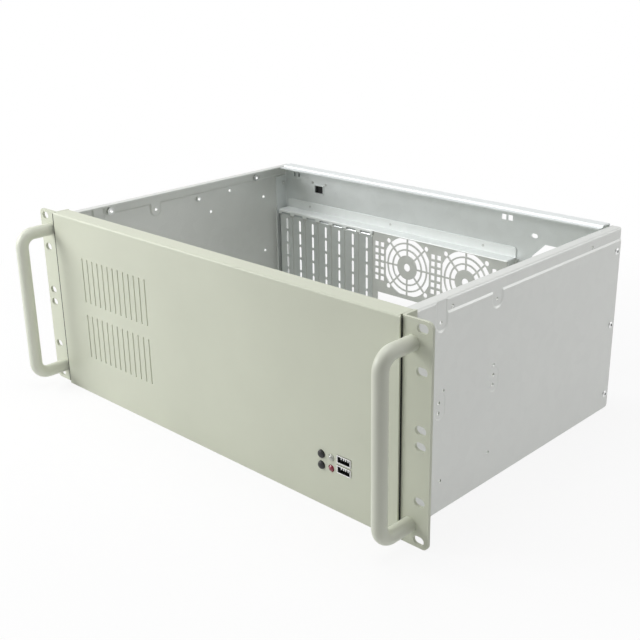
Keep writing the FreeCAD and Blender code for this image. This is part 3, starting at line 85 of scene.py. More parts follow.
# Outlines as shares of the head's radius and height, from the seat to the middle.
PAN_HEAD = (
    (0.0, 0.0), (0.96, 0.0), (1.0, 0.08), (1.0, 0.45), (0.95, 0.68), (0.82, 0.87), (0.6, 0.97), (0.0, 1.0),
)
RIVET_HEAD = ((0.97, 0.0), (1.0, 0.15), (0.93, 0.5), (0.78, 0.82), (0.58, 0.97))
RIVET_PIT = ((1.25, 1.0), (1.0, 0.85), (0.92, 0.3), (0.8, 0.55), (0.0, 0.62))
RIVET_TAIL = ((0.6, 1.0), (0.92, 0.8), (1.0, 0.45), (0.9, 0.1))
RIVET_SHANK_SHARE = 0.5
RIVET_PIT_SHARE = 0.3
RECESS_WALL = 0.28
RECESS_FLOOR = 0.2
RECESS_TOP = 1.3
RECESS_TAPER = 0.55
# Colour share for the cross recess faces: painted shade in the recess.
RECESS_PAINTED_SHADE = 0.15
# Colour share for the rivet pit and mandrel end: painted shade in the pit.
MANDREL_PAINTED_SHADE = 0.12
THREAD_DEPTH = 0.55
THREAD_STEPS = 6
SCREW_THREAD_ROUNDS = 20
BORE_RIB = 0.4
HEX_ROUNDS = 36
HEX_NARROW = 0.97

# Port contacts, seen from the front of the tongue.
TONGUE_DROP = 0.5 * MM
TONGUE_SHEET = 1.9 * MM
CONTACT_OFFSETS = (-3.5 * MM, -1.0 * MM, 1.0 * MM, 3.5 * MM)
CONTACT_HALF_WIDTH = 0.5 * MM
CONTACT_SHEET = 0.15 * MM
CONTACT_DROP = 0.25 * MM
CONTACT_LIP_DROP = 0.1 * MM
CONTACT_LIP_TOP = 0.5 * MM
CONTACT_END = 3.2 * MM

# Seam shade strips, black painted shade in the seams by the ears: side, name and how far the strip reaches
# past the front panel's edge.
SEAM_SHADE_STRIPS = ((1, "right_seam_seal", 0.7 * MM), (-1, "left_seam_seal", 3.9 * MM))
STRIP_CLEARANCE = 0.02 * MM
STRIP_DEPTH = 0.98 * MM
STRIP_END_LOW = 1.0 * MM
STRIP_END_HIGH = 2.0 * MM
STRIP_EDGE = 0.2 * MM

# Back of the control board: radius and height of a solder joint in millimetres, legs
# of each control as half steps across and up, and the pin header.
SOLDER_OUTLINE = (
    (0.0, 0.0), (0.95, 0.0), (0.8, 0.25), (0.45, 0.7), (0.3, 1.25), (0.22, 1.5), (0.0, 1.55),
)
SOLDER_ROUNDS = 16
BOARD_LEGS = (
    ("power_switch", 2.3, 2.3), ("reset_switch", 2.3, 2.3),
    ("power_lamp", 1.27, 0.0), ("disk_lamp", 1.27, 0.0),
    ("upper_port_shell", 1.2, 1.6), ("lower_port_shell", 1.2, 1.6),
    ("upper_port_shell", 3.5, 1.6), ("lower_port_shell", 3.5, 1.6),
)
PIN_PITCH = 2.54 * MM
PIN_HALF_WIDTH = 0.32 * MM
PIN_LENGTH = 6.0 * MM
PIN_TIP = 0.1 * MM
PIN_TIP_SCALE = 0.5
HEADER_COLUMNS = 8
HEADER_ROWS = 2
HEADER_INSET = 12.5 * MM
HEADER_RISE = 1.0 * MM
HEADER_FILL = 0.97
HEADER_EDGE = 0.35 * MM

# Lamps: name, place, width of the disc and the setting that holds the power.
LAMPS = (
    ("left_lamp", (-0.75, -0.7, 0.55), 0.6, "left_power"),
    ("top_lamp", (0.05, -0.1, 1.0), 0.9, "top_power"),
    ("right_lamp", (0.9, 0.75, 0.45), 0.6, "right_power"),
)
WHITE = (1.0, 1.0, 1.0, 1.0)
FLOOR_HALF_WIDTH = 6.0
FLOOR_DROP = 0.0002
FLOOR_FADE = (0.25, 0.65)
FLOOR_GLOW = (0.86, 1.0)
DARK_END_DIRECTION = (0.68, -0.68, 0.27)
DARK_END_FADE = (0.5, 0.95)
SENSOR_WIDTH = 36.0


# ---------------------------------------------------------------- sizes and colours
class FinishSettings(PropertyGroup):
    """Colours and surface grain of the case"""

    coat_colour: FloatVectorProperty(
        name="Coat", description="Cream powder coat of the front panel and ears",
        subtype="COLOR", default=(0.625, 0.65, 0.535), min=0.0, max=1.0)
    # The handles wear the same cream coat; this paler copy of it is painted light.
    handle_painted_light_colour: FloatVectorProperty(
        name="Handle Coat", description="Satin powder coat of the bow handles, a shade paler",
        subtype="COLOR", default=(0.69, 0.71, 0.61), min=0.0, max=1.0)
    coat_grain: FloatProperty(
        name="Coat Grain", description="Width of the orange-peel grain in the coat",
        default=0.0012, min=0.0002, unit="LENGTH")
    coat_roughness: FloatProperty(
        name="Coat Roughness", description="Roughness of the powder coat",
        default=0.46, min=0.0, max=1.0, subtype="FACTOR")
    zinc_colour: FloatVectorProperty(
        name="Zinc", description="Zinc-coated sheet of the body",
        subtype="COLOR", default=(0.70, 0.713, 0.69), min=0.0, max=1.0)
    # Paler copy of the body's zinc for the rear panel and slot covers: painted light on the inside of the
    # rear.
    rear_zinc_painted_light_colour: FloatVectorProperty(
        name="Rear Zinc", description="Zinc-coated sheet of the rear panel and slot covers",
        subtype="COLOR", default=(0.77, 0.80, 0.80), min=0.0, max=1.0)
    zinc_roughness: FloatProperty(
        name="Zinc Roughness", description="Roughness of the zinc-coated sheet",
        default=0.42, min=0.0, max=1.0, subtype="FACTOR")
    cover_roughness: FloatProperty(
        name="Cover Roughness", description="Roughness of the smoother slot covers",
        default=0.3, min=0.0, max=1.0, subtype="FACTOR")
    spangle: FloatProperty(
        name="Spangle", description="Size of the crystals in the zinc coating",
        default=0.009, min=0.001, unit="LENGTH")
    # Paler copy of the zinc for the slot guard: painted light on its upward face.
    guard_painted_light_colour: FloatVectorProperty(
        name="Guard Strip", description="Bright zinc plate of the slot guard",
        subtype="COLOR", default=(0.88, 0.91, 0.90), min=0.0, max=1.0)
    fastener_colour: FloatVectorProperty(
        name="Fasteners", description="Zinc plate of screws, nuts and rivets",
        subtype="COLOR", default=(0.74, 0.75, 0.74), min=0.0, max=1.0)
    brass_colour: FloatVectorProperty(
        name="Brass", description="Turned brass of the standoffs",
        subtype="COLOR", default=(0.62, 0.42, 0.13), min=0.0, max=1.0)
    button_colour: FloatVectorProperty(
        name="Buttons", description="Black moulded plastic",
        subtype="COLOR", default=(0.012, 0.012, 0.012), min=0.0, max=1.0)
    power_colour: FloatVectorProperty(
        name="Power Lamp", description="Clear lens of the power lamp",
        subtype="COLOR", default=(0.74, 0.76, 0.70), min=0.0, max=1.0)
    disk_colour: FloatVectorProperty(
        name="Disk Lamp", description="Red lens of the disk lamp",
        subtype="COLOR", default=(0.42, 0.006, 0.05), min=0.0, max=1.0)
    # Black of the seam strips: painted shade standing for the dark gap between panel and ear.
    seam_shade_colour: FloatVectorProperty(
        name="Seam Shade", description="Black rubber strip in the seams of the front panel",
        subtype="COLOR", default=(0.008, 0.008, 0.008), min=0.0, max=1.0)
    contact_colour: FloatVectorProperty(
        name="Header Pins", description="Gold flash on the header pins",
        subtype="COLOR", default=(0.85, 0.72, 0.42), min=0.0, max=1.0)
    shell_colour: FloatVectorProperty(
        name="Port Shells", description="Tinned steel of the port shells",
        subtype="COLOR", default=(0.78, 0.78, 0.77), min=0.0, max=1.0)
    tongue_colour: FloatVectorProperty(
        name="Port Tongues", description="Black plastic inside the ports",
        subtype="COLOR", default=(0.02, 0.02, 0.022), min=0.0, max=1.0)
    board_colour: FloatVectorProperty(
        name="Board", description="Solder mask of the control board",
        subtype="COLOR", default=(0.012, 0.085, 0.03), min=0.0, max=1.0)


class HardwareSettings(PropertyGroup):
    """Sizes of the screws, rivets and other small hardware"""

    head_radius: FloatProperty(
        name="Head Radius", description="Radius of the pan heads",
        default=0.0029, min=0.001, unit="LENGTH")
    head_height: FloatProperty(
        name="Head Height", description="Height of the pan heads",
        default=0.0018, min=0.0005, unit="LENGTH")
    thread_radius: FloatProperty(
        name="Thread Radius", description="Outer radius of the screw threads",
        default=0.0015, min=0.0005, unit="LENGTH")
    thread_pitch: FloatProperty(
        name="Thread Pitch", description="Distance from one thread to the next",
        default=0.0005, min=0.0002, unit="LENGTH")
    recess_radius: FloatProperty(
        name="Recess", description="Half width of the cross recess",
        default=0.0016, min=0.0003, unit="LENGTH")
    rivet_radius: FloatProperty(
        name="Rivet Radius", description="Radius of the rivet heads",
        default=0.0032, min=0.001, unit="LENGTH")
    rivet_height: FloatProperty(
        name="Rivet Height", description="Height of the rivet heads",
        default=0.0011, min=0.0003, unit="LENGTH")
    rivet_tail: FloatProperty(
        name="Rivet Tail", description="How far the upset end stands behind the sheets",
        default=0.0022, min=0.0005, unit="LENGTH")
    rivet_tail_radius: FloatProperty(
        name="Tail Radius", description="Radius of the upset end behind the sheets",
        default=0.0024, min=0.0005, unit="LENGTH")
    rounds: IntProperty(
        name="Segments", description="Sides of the round pieces",
        default=36, min=12, max=96)


class StageSettings(PropertyGroup):
    """Floor, lamps and camera"""

    lens: FloatProperty(
        name="Lens", description="Focal length in millimetres on a 36 mm sensor",
        default=57.57, min=10.0, max=300.0)
    camera_place: FloatVectorProperty(
        name="Camera", description="Place of the camera",
        subtype="TRANSLATION", unit="LENGTH", default=(0.63092, -0.64184, 0.41808))
    camera_turn: FloatVectorProperty(
        name="Camera Turn", description="Rotation of the camera",
        subtype="EULER", unit="ROTATION",
        default=(math.radians(69.551), math.radians(0.886), math.radians(43.906)))
    floor_colour: FloatVectorProperty(
        name="Floor", description="Colour of the floor",
        subtype="COLOR", default=(0.92, 0.92, 0.92), min=0.0, max=1.0)
    room_light: FloatProperty(
        name="Room Light", description="Strength of the even light from the room",
        default=0.27, min=0.0, max=3.0)
    dark_end: FloatProperty(
        name="Dark End", description="Share of the room's light that comes from its unlit end",
        default=0.25, min=0.0, max=1.0, subtype="FACTOR")
    left_power: FloatProperty(
        name="Left Lamp", description="Power of the large soft lamp to the left of the front",
        default=7.0, min=0.0, unit="POWER")
    top_power: FloatProperty(
        name="Top Lamp", description="Power of the large soft lamp overhead",
        default=4.9, min=0.0, unit="POWER")
    right_power: FloatProperty(
        name="Right Lamp", description="Power of the soft lamp to the right of the rear",
        default=1.6, min=0.0, unit="POWER")


SETTINGS = {
    "server_case_finish": FinishSettings,
    "server_case_hardware": HardwareSettings,
    "server_case_stage": StageSettings,
}


# ---------------------------------------------------------------- surface recipes
class Recipe:
    """One material whose colour, roughness and relief come from nodes."""

    def __init__(self, name, metal=0.0):
        """Start from the plain shader, with coordinates that lie still on the piece."""
        self.material = bpy.data.materials.new(name)
        self.material.use_nodes = True
        self.tree = self.material.node_tree
        self.shader = self.tree.nodes["Principled BSDF"]
        self.shader.inputs["Metallic"].default_value = metal
        self.place = self.tree.nodes.new("ShaderNodeTexCoord").outputs["Object"]

    def link(self, source, target):
        """Join two sockets."""
        self.tree.links.new(source, target)

    def stretched(self, scale):
        """Coordinates scaled along each axis."""
        mapping = self.tree.nodes.new("ShaderNodeMapping")
        mapping.inputs["Scale"].default_value = scale
        self.link(self.place, mapping.inputs["Vector"])
        return mapping.outputs["Vector"]

    def noise(self, size, detail=3.0, stretch=(1.0, 1.0, 1.0)):
        """Cloudy pattern whose patches are about size metres wide."""
        node = self.tree.nodes.new("ShaderNodeTexNoise")
        node.inputs["Scale"].default_value = 1.0 / size
        node.inputs["Detail"].default_value = detail
        self.link(self.stretched(stretch), node.inputs["Vector"])
        return node.outputs["Fac"]

    def crystals(self, size):
        """Flat random grey for each crystal of the given size."""
        node = self.tree.nodes.new("ShaderNodeTexVoronoi")
        node.inputs["Scale"].default_value = 1.0 / size
        self.link(self.place, node.inputs["Vector"])
        grey = self.tree.nodes.new("ShaderNodeRGBToBW")
        self.link(node.outputs["Color"], grey.inputs["Color"])
        return grey.outputs["Val"]

    def spread(self, value, low, high, start=0.3, end=0.7):
        """Map the value's range from start to end onto low to high."""
        node = self.tree.nodes.new("ShaderNodeMapRange")
        node.inputs["From Min"].default_value = start
        node.inputs["From Max"].default_value = end
        node.inputs["To Min"].default_value = low
        node.inputs["To Max"].default_value = high
        self.link(value, node.inputs["Value"])
        return node.outputs["Result"]

    def combine(self, kind, first, second):
        """Work out one value from two, which may be sockets or plain numbers."""
        node = self.tree.nodes.new("ShaderNodeMath")
        node.operation = kind
        for socket, value in zip(node.inputs, (first, second)):
            if isinstance(value, float):
                socket.default_value = value
            else:
                self.link(value, socket)
        return node.outputs["Value"]

    def colour(self, base, value, dark, light):
        """Shade the base colour between two strengths along the value."""
        node = self.tree.nodes.new("ShaderNodeMix")
        node.data_type = "RGBA"
        node.inputs[6].default_value = [min(1.0, channel * dark) for channel in base] + [1.0]
        node.inputs[7].default_value = [min(1.0, channel * light) for channel in base] + [1.0]
        self.link(value, node.inputs["Factor"])
        self.link(node.outputs[2], self.shader.inputs["Base Color"])
        return node.outputs[2]

    def roughness(self, value):
        """Let the value set how rough the surface is."""
        self.link(value, self.shader.inputs["Roughness"])

    def relief(self, height, depth, strength=1.0):
        """Raise the surface by depth metres along the height value."""
        node = self.tree.nodes.new("ShaderNodeBump")
        node.inputs["Strength"].default_value = strength
        node.inputs["Distance"].default_value = depth
        self.link(height, node.inputs["Height"])
        previous = self.shader.inputs["Normal"]
        if previous.is_linked:
            self.link(previous.links[0].from_socket, node.inputs["Normal"])
        self.link(node.outputs["Normal"], previous)


def coated(name, colour, grain, roughness, depth=0.00003):
    """Powder coat: orange-peel grain over a slightly uneven colour."""
    recipe = Recipe(name)
    fine = recipe.noise(grain, 2.0)
    broad = recipe.noise(0.11, 4.0)
    recipe.colour(colour, recipe.spread(broad, 0.0, 1.0), 0.965, 1.03)
    recipe.roughness(recipe.spread(fine, roughness - 0.06, roughness + 0.06))
    recipe.relief(fine, depth)
    recipe.relief(recipe.noise(0.03, 2.0), 0.00008)
    recipe.shader.inputs["Specular IOR Level"].default_value = 0.45
    return recipe.material


def zinc_sheet(name, colour, roughness, spangle, contrast=0.025, metal=0.45):
    """Zinc-coated sheet: pale crystals, rolling lines and soft smears."""
    recipe = Recipe(name, metal)
    crystals = recipe.crystals(spangle)
    rolling = recipe.noise(0.004, 3.0, (1.0, 0.06, 1.0))
    smears = recipe.noise(0.07, 5.0)
    facets = recipe.spread(crystals, 0.0, 0.45, 0.2, 0.8)
    shade = recipe.combine("ADD", facets, recipe.spread(smears, 0.0, 0.55))
    recipe.colour(colour, shade, 1.0 - contrast, 1.0 + contrast)
    rough = recipe.spread(smears, roughness - 0.02, roughness + 0.04)
    recipe.roughness(recipe.combine("ADD", rough, recipe.spread(crystals, -0.015, 0.015, 0.2, 0.8)))
    recipe.relief(rolling, 0.000012)
    recipe.relief(recipe.noise(0.05, 1.0), 0.00008)
    return recipe.material


def plated(name, colour, roughness=0.3):
    """Small plated or turned metal piece with fine tool marks."""
    recipe = Recipe(name, metal=1.0)
    marks = recipe.noise(0.0006, 3.0, (1.0, 1.0, 0.2))
    recipe.colour(colour, recipe.spread(recipe.noise(0.002, 2.0), 0.0, 1.0), 0.86, 1.08)
    recipe.roughness(recipe.spread(marks, roughness - 0.08, roughness + 0.1))
    recipe.relief(marks, 0.000012)
    return recipe.material


def moulded(name, colour, roughness=0.42, grain=0.0004):
    """Moulded plastic with a fine spark-eroded grain."""
    recipe = Recipe(name)
    fine = recipe.noise(grain, 2.0)
    recipe.colour(colour, recipe.spread(recipe.noise(0.004, 3.0), 0.0, 1.0), 0.85, 1.2)
    recipe.roughness(recipe.spread(fine, roughness - 0.08, roughness + 0.08))
    recipe.relief(fine, 0.00001)
    return recipe.material


def lens(name, colour):
    """Tinted lamp lens, clouded inside."""
    recipe = Recipe(name)
    cloud = recipe.noise(0.0012, 2.0)
    recipe.colour(colour, recipe.spread(cloud, 0.0, 1.0), 0.8, 1.15)
    recipe.roughness(recipe.spread(cloud, 0.08, 0.2))
    recipe.relief(recipe.noise(0.0008, 1.0), 0.000008)
    recipe.shader.inputs["Transmission Weight"].default_value = 0.35
    recipe.shader.inputs["Coat Weight"].default_value = 0.6
    return recipe.material


def solder_mask(name, colour):
    """Board lacquer with copper runs showing through as paler bands."""
    recipe = Recipe(name)
    runs = recipe.tree.nodes.new("ShaderNodeTexBrick")
    runs.inputs["Scale"].default_value = 160.0
    runs.inputs["Mortar Size"].default_value = 0.09
    recipe.link(recipe.stretched((1.0, 1.0, 1.0)), runs.inputs["Vector"])
    copper = recipe.combine("MULTIPLY", runs.outputs["Fac"], 0.6)
    cloud = recipe.spread(recipe.noise(0.006, 2.0), 0.0, 0.4)
    mask = recipe.combine("ADD", copper, cloud)
    recipe.colour(colour, mask, 0.8, 1.9)
    recipe.roughness(recipe.spread(recipe.noise(0.002, 2.0), 0.28, 0.42))
    recipe.relief(runs.outputs["Fac"], 0.00003)
    return recipe.material


def dress(nodes, material):
    """Give CAD pieces their finish."""
    for name in nodes:
        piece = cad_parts[name]
        piece.data.materials.clear()
        piece.data.materials.append(material)


# ---------------------------------------------------------------- mesh helpers
def to_mesh(name, shape, sharp=math.radians(35)):
    """Turn a bmesh into a mesh that is smooth except over sharp corners."""
    bmesh.ops.recalc_face_normals(shape, faces=shape.faces)
    for edge in shape.edges:
        edge.smooth = len(edge.link_faces) == 2 and edge.calc_face_angle(0.0) < sharp
    for face in shape.faces:
        face.smooth = True
    mesh = bpy.data.meshes.new(name)
    shape.to_mesh(mesh)
    shape.free()
    return mesh


def turned(shape, outline, rounds):
    """Add a solid turned about Z from (radius, height) points."""
    rings = []
    for radius, height in outline:
        if radius < 1e-7:
            rings.append([shape.verts.new((0.0, 0.0, height))])
            continue
        ring = []
        for step in range(rounds):
            angle = math.tau * step / rounds
            ring.append(shape.verts.new((radius * math.cos(angle), radius * math.sin(angle), height)))
        rings.append(ring)
    for low, high in zip(rings, rings[1:]):
        for step in range(rounds):
            following = (step + 1) % rounds
            corners = [low[step % len(low)], low[following % len(low)]]
            corners += [high[following % len(high)], high[step % len(high)]]
            unique = list(dict.fromkeys(corners))
            if len(unique) > 2:
                shape.faces.new(unique)


def slab(shape, low, high):
    """Add a box between two corners."""
    middle = (Vector(low) + Vector(high)) / 2
    size = Vector(high) - Vector(low)
    place = Matrix.Translation(middle) @ Matrix.Diagonal((*size, 1.0))
    return bmesh.ops.create_cube(shape, size=1.0, matrix=place)["verts"]


def threaded(shape, radius, top, bottom, pitch, rounds):
    """Add a threaded rod that runs down from top to bottom along Z."""
    depth = pitch * THREAD_DEPTH
    rows = int((top - bottom) / pitch * THREAD_STEPS)
    grid = []
    for row in range(rows + 1):
        height = top - (top - bottom) * row / rows
        ring = []
        for step in range(rounds):
            phase = (row / THREAD_STEPS + step / rounds) % 1.0
            cut = depth * abs(2.0 * phase - 1.0)
            taper = min(1.0, (rows - row) / THREAD_STEPS)
            reach = radius - cut - (1.0 - taper) * depth
            angle = math.tau * step / rounds
            ring.append(shape.verts.new((reach * math.cos(angle), reach * math.sin(angle), height)))
        grid.append(ring)
    for above, below in zip(grid, grid[1:]):
        for step in range(rounds):
            following = (step + 1) % rounds
            shape.faces.new((above[step], above[following], below[following], below[step]))
    shape.faces.new(grid[0])
    shape.faces.new(grid[-1])


def cut_away(mesh, cutter):
    """Subtract one mesh from another and return the result."""
    host = bpy.data.objects.new(mesh.name, mesh)
    tool = bpy.data.objects.new("cutter", cutter)
    for thing in (host, tool):
        bpy.context.collection.objects.link(thing)
    modifier = host.modifiers.new("cut", "BOOLEAN")
    modifier.operation = "DIFFERENCE"
    modifier.solver = "EXACT"
    modifier.object = tool
    graph = bpy.context.evaluated_depsgraph_get()
    result = bpy.data.meshes.new_from_object(host.evaluated_get(graph))
    result.name = mesh.name
    for thing in (host, tool):
        bpy.data.objects.remove(thing)
    return result


def solids_of(node):
    """Boxes of the separate solids in a CAD node, from left to right."""
    shape = bmesh.new()
    shape.from_mesh(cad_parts[node].data)
    bmesh.ops.remove_doubles(shape, verts=shape.verts, dist=1e-6)
    unseen = set(shape.verts)
    boxes = []
    while unseen:
        group = [unseen.pop()]
        for vertex in group:
            for edge in vertex.link_edges:
                other = edge.other_vert(vertex)
                if other in unseen:
                    unseen.remove(other)
                    group.append(other)
        low = Vector([min(vertex.co[axis] for vertex in group) for axis in range(3)])
        high = Vector([max(vertex.co[axis] for vertex in group) for axis in range(3)])
        boxes.append((low, high))
    shape.free()
    return sorted(boxes, key=lambda box: (round(box[0].x, 4), round(box[0].y, 4), round(box[0].z, 4)))


def place_piece(name, mesh, material, seat, outward=(0, 0, 1), body=CASE_BODY):
    """Stand a mesh on its seat, with its own Z along the outward direction."""
    piece = bpy.data.objects.new(name, mesh)
    bpy.context.collection.objects.link(piece)
    if not mesh.materials:
        mesh.materials.append(material)
    turn = Vector((0, 0, 1)).rotation_difference(Vector(outward)).to_matrix().to_4x4()
    piece.matrix_world = Matrix.Translation(Vector(seat)) @ turn
    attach(piece, body)
    return piece


# ---------------------------------------------------------------- hardware meshes
def pan_screw_mesh(name, hardware, length, scale=1.0):
    """Pan head with a cross recess on a threaded shank."""
    radius = hardware.head_radius * scale
    height = hardware.head_height * scale
    shape = bmesh.new()
    turned(shape, [(radius * across, height * up) for across, up in PAN_HEAD], hardware.rounds)
    head = to_mesh(name, shape)
    shape = bmesh.new()
    arm = hardware.recess_radius * scale
    thin = arm * RECESS_WALL
    floor = height * RECESS_FLOOR
    for across, along in ((arm, thin), (thin, arm)):
        verts = slab(shape, (-across, -along, floor), (across, along, height * RECESS_TOP))
        for vertex in verts:
            if vertex.co.z < height:
                vertex.co.x *= RECESS_TAPER
                vertex.co.y *= RECESS_TAPER
    cutter = to_mesh(name + "_recess", shape)
    head = cut_away(head, cutter)
    shape = bmesh.new()
    shape.from_mesh(head)
    # Faces down in the cross recess take the second material, a painted shade.
    for face in shape.faces:
        lowest = min(vertex.co.z for vertex in face.verts)
        widest = max(vertex.co.xy.length for vertex in face.verts)
        if 0.0 < lowest < height * 0.6 and widest < arm * 1.05:
            face.material_index = 1
    thread = hardware.thread_radius * scale
    pitch = hardware.thread_pitch * scale
    threaded(shape, thread, height * 0.1, -length, pitch, SCREW_THREAD_ROUNDS)
    return to_mesh(name, shape)


def rivet_mesh(name, hardware, grip, tail, tail_radius):
    """Blind rivet: domed head with the broken mandrel in its middle."""
    radius = hardware.rivet_radius
    height = hardware.rivet_height
    shank = radius * RIVET_SHANK_SHARE
    pit = radius * RIVET_PIT_SHARE
    shape = bmesh.new()
    outline = [(0.0, -grip - tail)]
    if tail > 0:
        outline += [(tail_radius * across, -grip - tail * down) for across, down in RIVET_TAIL]
    outline += [(shank, -grip), (shank, 0.0)]
    outline += [(radius * across, height * up) for across, up in RIVET_HEAD]
    outline += [(pit * across, height * up) for across, up in RIVET_PIT]
    turned(shape, outline, hardware.rounds)
    # The pit and the mandrel end take the second material, a painted shade.
    for face in shape.faces:
        if all(vertex.co.xy.length < pit * 1.3 and vertex.co.z > 0.0 for vertex in face.verts):
            face.material_index = 1
    return to_mesh(name, shape)


def hex_ring_mesh(name, across, height, hardware):
    """Chamfered hexagonal body with a ribbed bore."""
    bore = hardware.thread_radius
    pitch = hardware.thread_pitch
    shape = bmesh.new()
    corner = across / math.sqrt(3)
    chamfer = min(height * 0.16, across * 0.07)
    narrow = across / 2 * HEX_NARROW
    levels = [(0.0, narrow), (chamfer, corner), (height - chamfer, corner), (height, narrow)]
    rings = []
    for level, limit in levels:
        ring = []
        for step in range(HEX_ROUNDS):
            angle = math.tau * step / HEX_ROUNDS
            from_flat = (angle + math.pi / 6) % (math.pi / 3) - math.pi / 6
            reach = min(across / 2 / math.cos(from_flat), limit)
            ring.append(shape.verts.new((reach * math.cos(angle), reach * math.sin(angle), level)))
        rings.append(ring)
    turns = max(3, int(height / pitch))
    for row in range(turns * 2 + 1):
        level = height * (1.0 - row / (turns * 2))
        reach = bore if row % 2 == 0 else bore + pitch * BORE_RIB
        ring = []
        for step in range(HEX_ROUNDS):
            angle = math.tau * step / HEX_ROUNDS
            ring.append(shape.verts.new((reach * math.cos(angle), reach * math.sin(angle), level)))
        rings.append(ring)
    rings.append(rings[0])
    for low, high in zip(rings, rings[1:]):
        for step in range(HEX_ROUNDS):
            following = (step + 1) % HEX_ROUNDS
            shape.faces.new((low[step], low[following], high[following], high[step]))
    return to_mesh(name, shape, math.radians(25))


# ---------------------------------------------------------------- operators
class SERVERCASE_OT_coat_front(Operator):
    """Powder-coat the front panel and both ears"""

    bl_idname = "server_case.coat_front"
    bl_label = "Coat Front Panel and Ears"

    def execute(self, context):
        finish = context.scene.server_case_finish
        coat = coated("cream_powder_coat", finish.coat_colour, finish.coat_grain, finish.coat_roughness)
        dress(COATED, coat)
        return {"FINISHED"}


class SERVERCASE_OT_coat_handles(Operator):
    """Powder-coat the bow handles a little smoother than the panel"""

    bl_idname = "server_case.coat_handles"
    bl_label = "Coat Handles"

    def execute(self, context):
        finish = context.scene.server_case_finish
        grain = finish.coat_grain * 1.3
        # The paler handle colour is painted light; the roughness is the handles' own.
        coat = coated("cream_handle_coat", finish.handle_painted_light_colour, grain, finish.coat_roughness - 0.08, 0.00002)
        dress(HANDLES, coat)
        return {"FINISHED"}


class SERVERCASE_OT_zinc_body(Operator):
    """Give the tray, rear panel, bulkhead and slot covers their zinc coating"""

    bl_idname = "server_case.zinc_body"
    bl_label = "Zinc Sheet Metal"

    def execute(self, context):
        finish = context.scene.server_case_finish
        sheet = zinc_sheet("zinc_coated_sheet", finish.zinc_colour, finish.zinc_roughness, finish.spangle)
        dress(PLAIN_SHEET, sheet)
        # The rear panel and covers take the paler zinc copy: painted light.
        rear = zinc_sheet("rear_zinc_sheet", finish.rear_zinc_painted_light_colour, finish.zinc_roughness, finish.spangle)
        dress(["rear_panel"], rear)
        covers = zinc_sheet(
            "cover_zinc_sheet", finish.rear_zinc_painted_light_colour, finish.cover_roughness, finish.spangle, 0.03, 0.7)
        dress(SLOT_COVERS, covers)
        return {"FINISHED"}


class SERVERCASE_OT_guard_painted_light(Operator):
    """Give the slot guard a paler copy of the zinc plate, painted light on its upward face"""

    bl_idname = "server_case.bright_guard"
    bl_label = "Bright Slot Guard"

    def execute(self, context):
        finish = context.scene.server_case_finish
        roughness = finish.zinc_roughness + 0.12
        strip = zinc_sheet("bright_zinc_strip", finish.guard_painted_light_colour, roughness, finish.spangle, 0.02, 0.25)
        dress(["slot_guard"], strip)
        return {"FINISHED"}


class SERVERCASE_OT_screws(Operator):
    """Replace the plain screws with pan heads that have a cross recess and a thread"""

    bl_idname = "server_case.screws"
    bl_label = "Cross-Recess Screws"

    def execute(self, context):
        hardware = context.scene.server_case_hardware
        finish = context.scene.server_case_finish
        metal = plated("plated_screws", finish.fastener_colour)
        # The recess material is the screw colour darkened: painted shade.
        shade = plated("recess_steel", [channel * RECESS_PAINTED_SHADE for channel in finish.fastener_colour], 0.5)
        for node, outward, scale in SCREW_GROUPS:
            axis = Vector(outward)
            height = hardware.head_height * scale
            mesh = None
            for number, (low, high) in enumerate(solids_of(node), start=1):
                middle = (low + high) / 2
                reach = abs((high - low).dot(axis)) / 2
                if mesh is None:
                    mesh = pan_screw_mesh(node, hardware, 2 * reach - height, scale)
                    mesh.materials.append(metal)
                    mesh.materials.append(shade)
                seat = middle + axis * (reach - height)
                piece = place_piece(f"{node}_{number}", mesh, metal, seat, outward)
                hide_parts(node)
        return {"FINISHED"}


class SERVERCASE_OT_rivets(Operator):
    """Replace the plain rivets with blind rivets that show their mandrels"""

    bl_idname = "server_case.rivets"
    bl_label = "Blind Rivets"

    def execute(self, context):
        hardware = context.scene.server_case_hardware
        finish = context.scene.server_case_finish
        metal = plated("plated_rivets", finish.fastener_colour, 0.3)
        # The mandrel material is the rivet colour darkened: painted shade in the pit.
        dark = [channel * MANDREL_PAINTED_SHADE for channel in finish.fastener_colour]
        mandrel = plated("mandrel_steel", dark, 0.4)
        for node in RIVET_GROUPS:
            upright = node == "foot_rivets"
            tail = 0.0 if upright else hardware.rivet_tail
            mesh = None
            for number, (low, high) in enumerate(solids_of(node), start=1):
                middle = (low + high) / 2
                side = 1.0 if middle.x > 0 else -1.0
                axis = Vector((0, 0, 1)) if upright else Vector((side, 0, 0))
                reach = abs((high - low).dot(axis)) / 2
                if mesh is None:
                    grip = 2 * reach - hardware.rivet_height - tail
                    mesh = rivet_mesh(node, hardware, grip, tail, hardware.rivet_tail_radius)
                    mesh.materials.append(metal)
                    mesh.materials.append(mandrel)
                seat = middle + axis * (reach - hardware.rivet_height)
                piece = place_piece(f"{node}_{number}", mesh, metal, seat, axis)
                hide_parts(node)
        return {"FINISHED"}


class SERVERCASE_OT_nuts(Operator):
    """Replace the stud nuts and dress the clinch nuts of the lid screws"""

    bl_idname = "server_case.nuts"
    bl_label = "Nuts"

    def execute(self, context):
        hardware = context.scene.server_case_hardware
        finish = context.scene.server_case_finish
        metal = plated("plated_nuts", finish.fastener_colour, 0.28)
        mesh = None
        for number, (low, high) in enumerate(solids_of("fascia_nuts"), start=1):
            size = high - low
            if mesh is None:
                across = min(size.x, size.z)
                mesh = hex_ring_mesh("fascia_nut", across, size.y, hardware)
            seat = ((low.x + high.x) / 2, low.y, (low.z + high.z) / 2)
            piece = place_piece(f"fascia_nut_{number}", mesh, metal, seat, (0, 1, 0))
            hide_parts("fascia_nuts")
        dress(["lid_nuts"], metal)
        return {"FINISHED"}


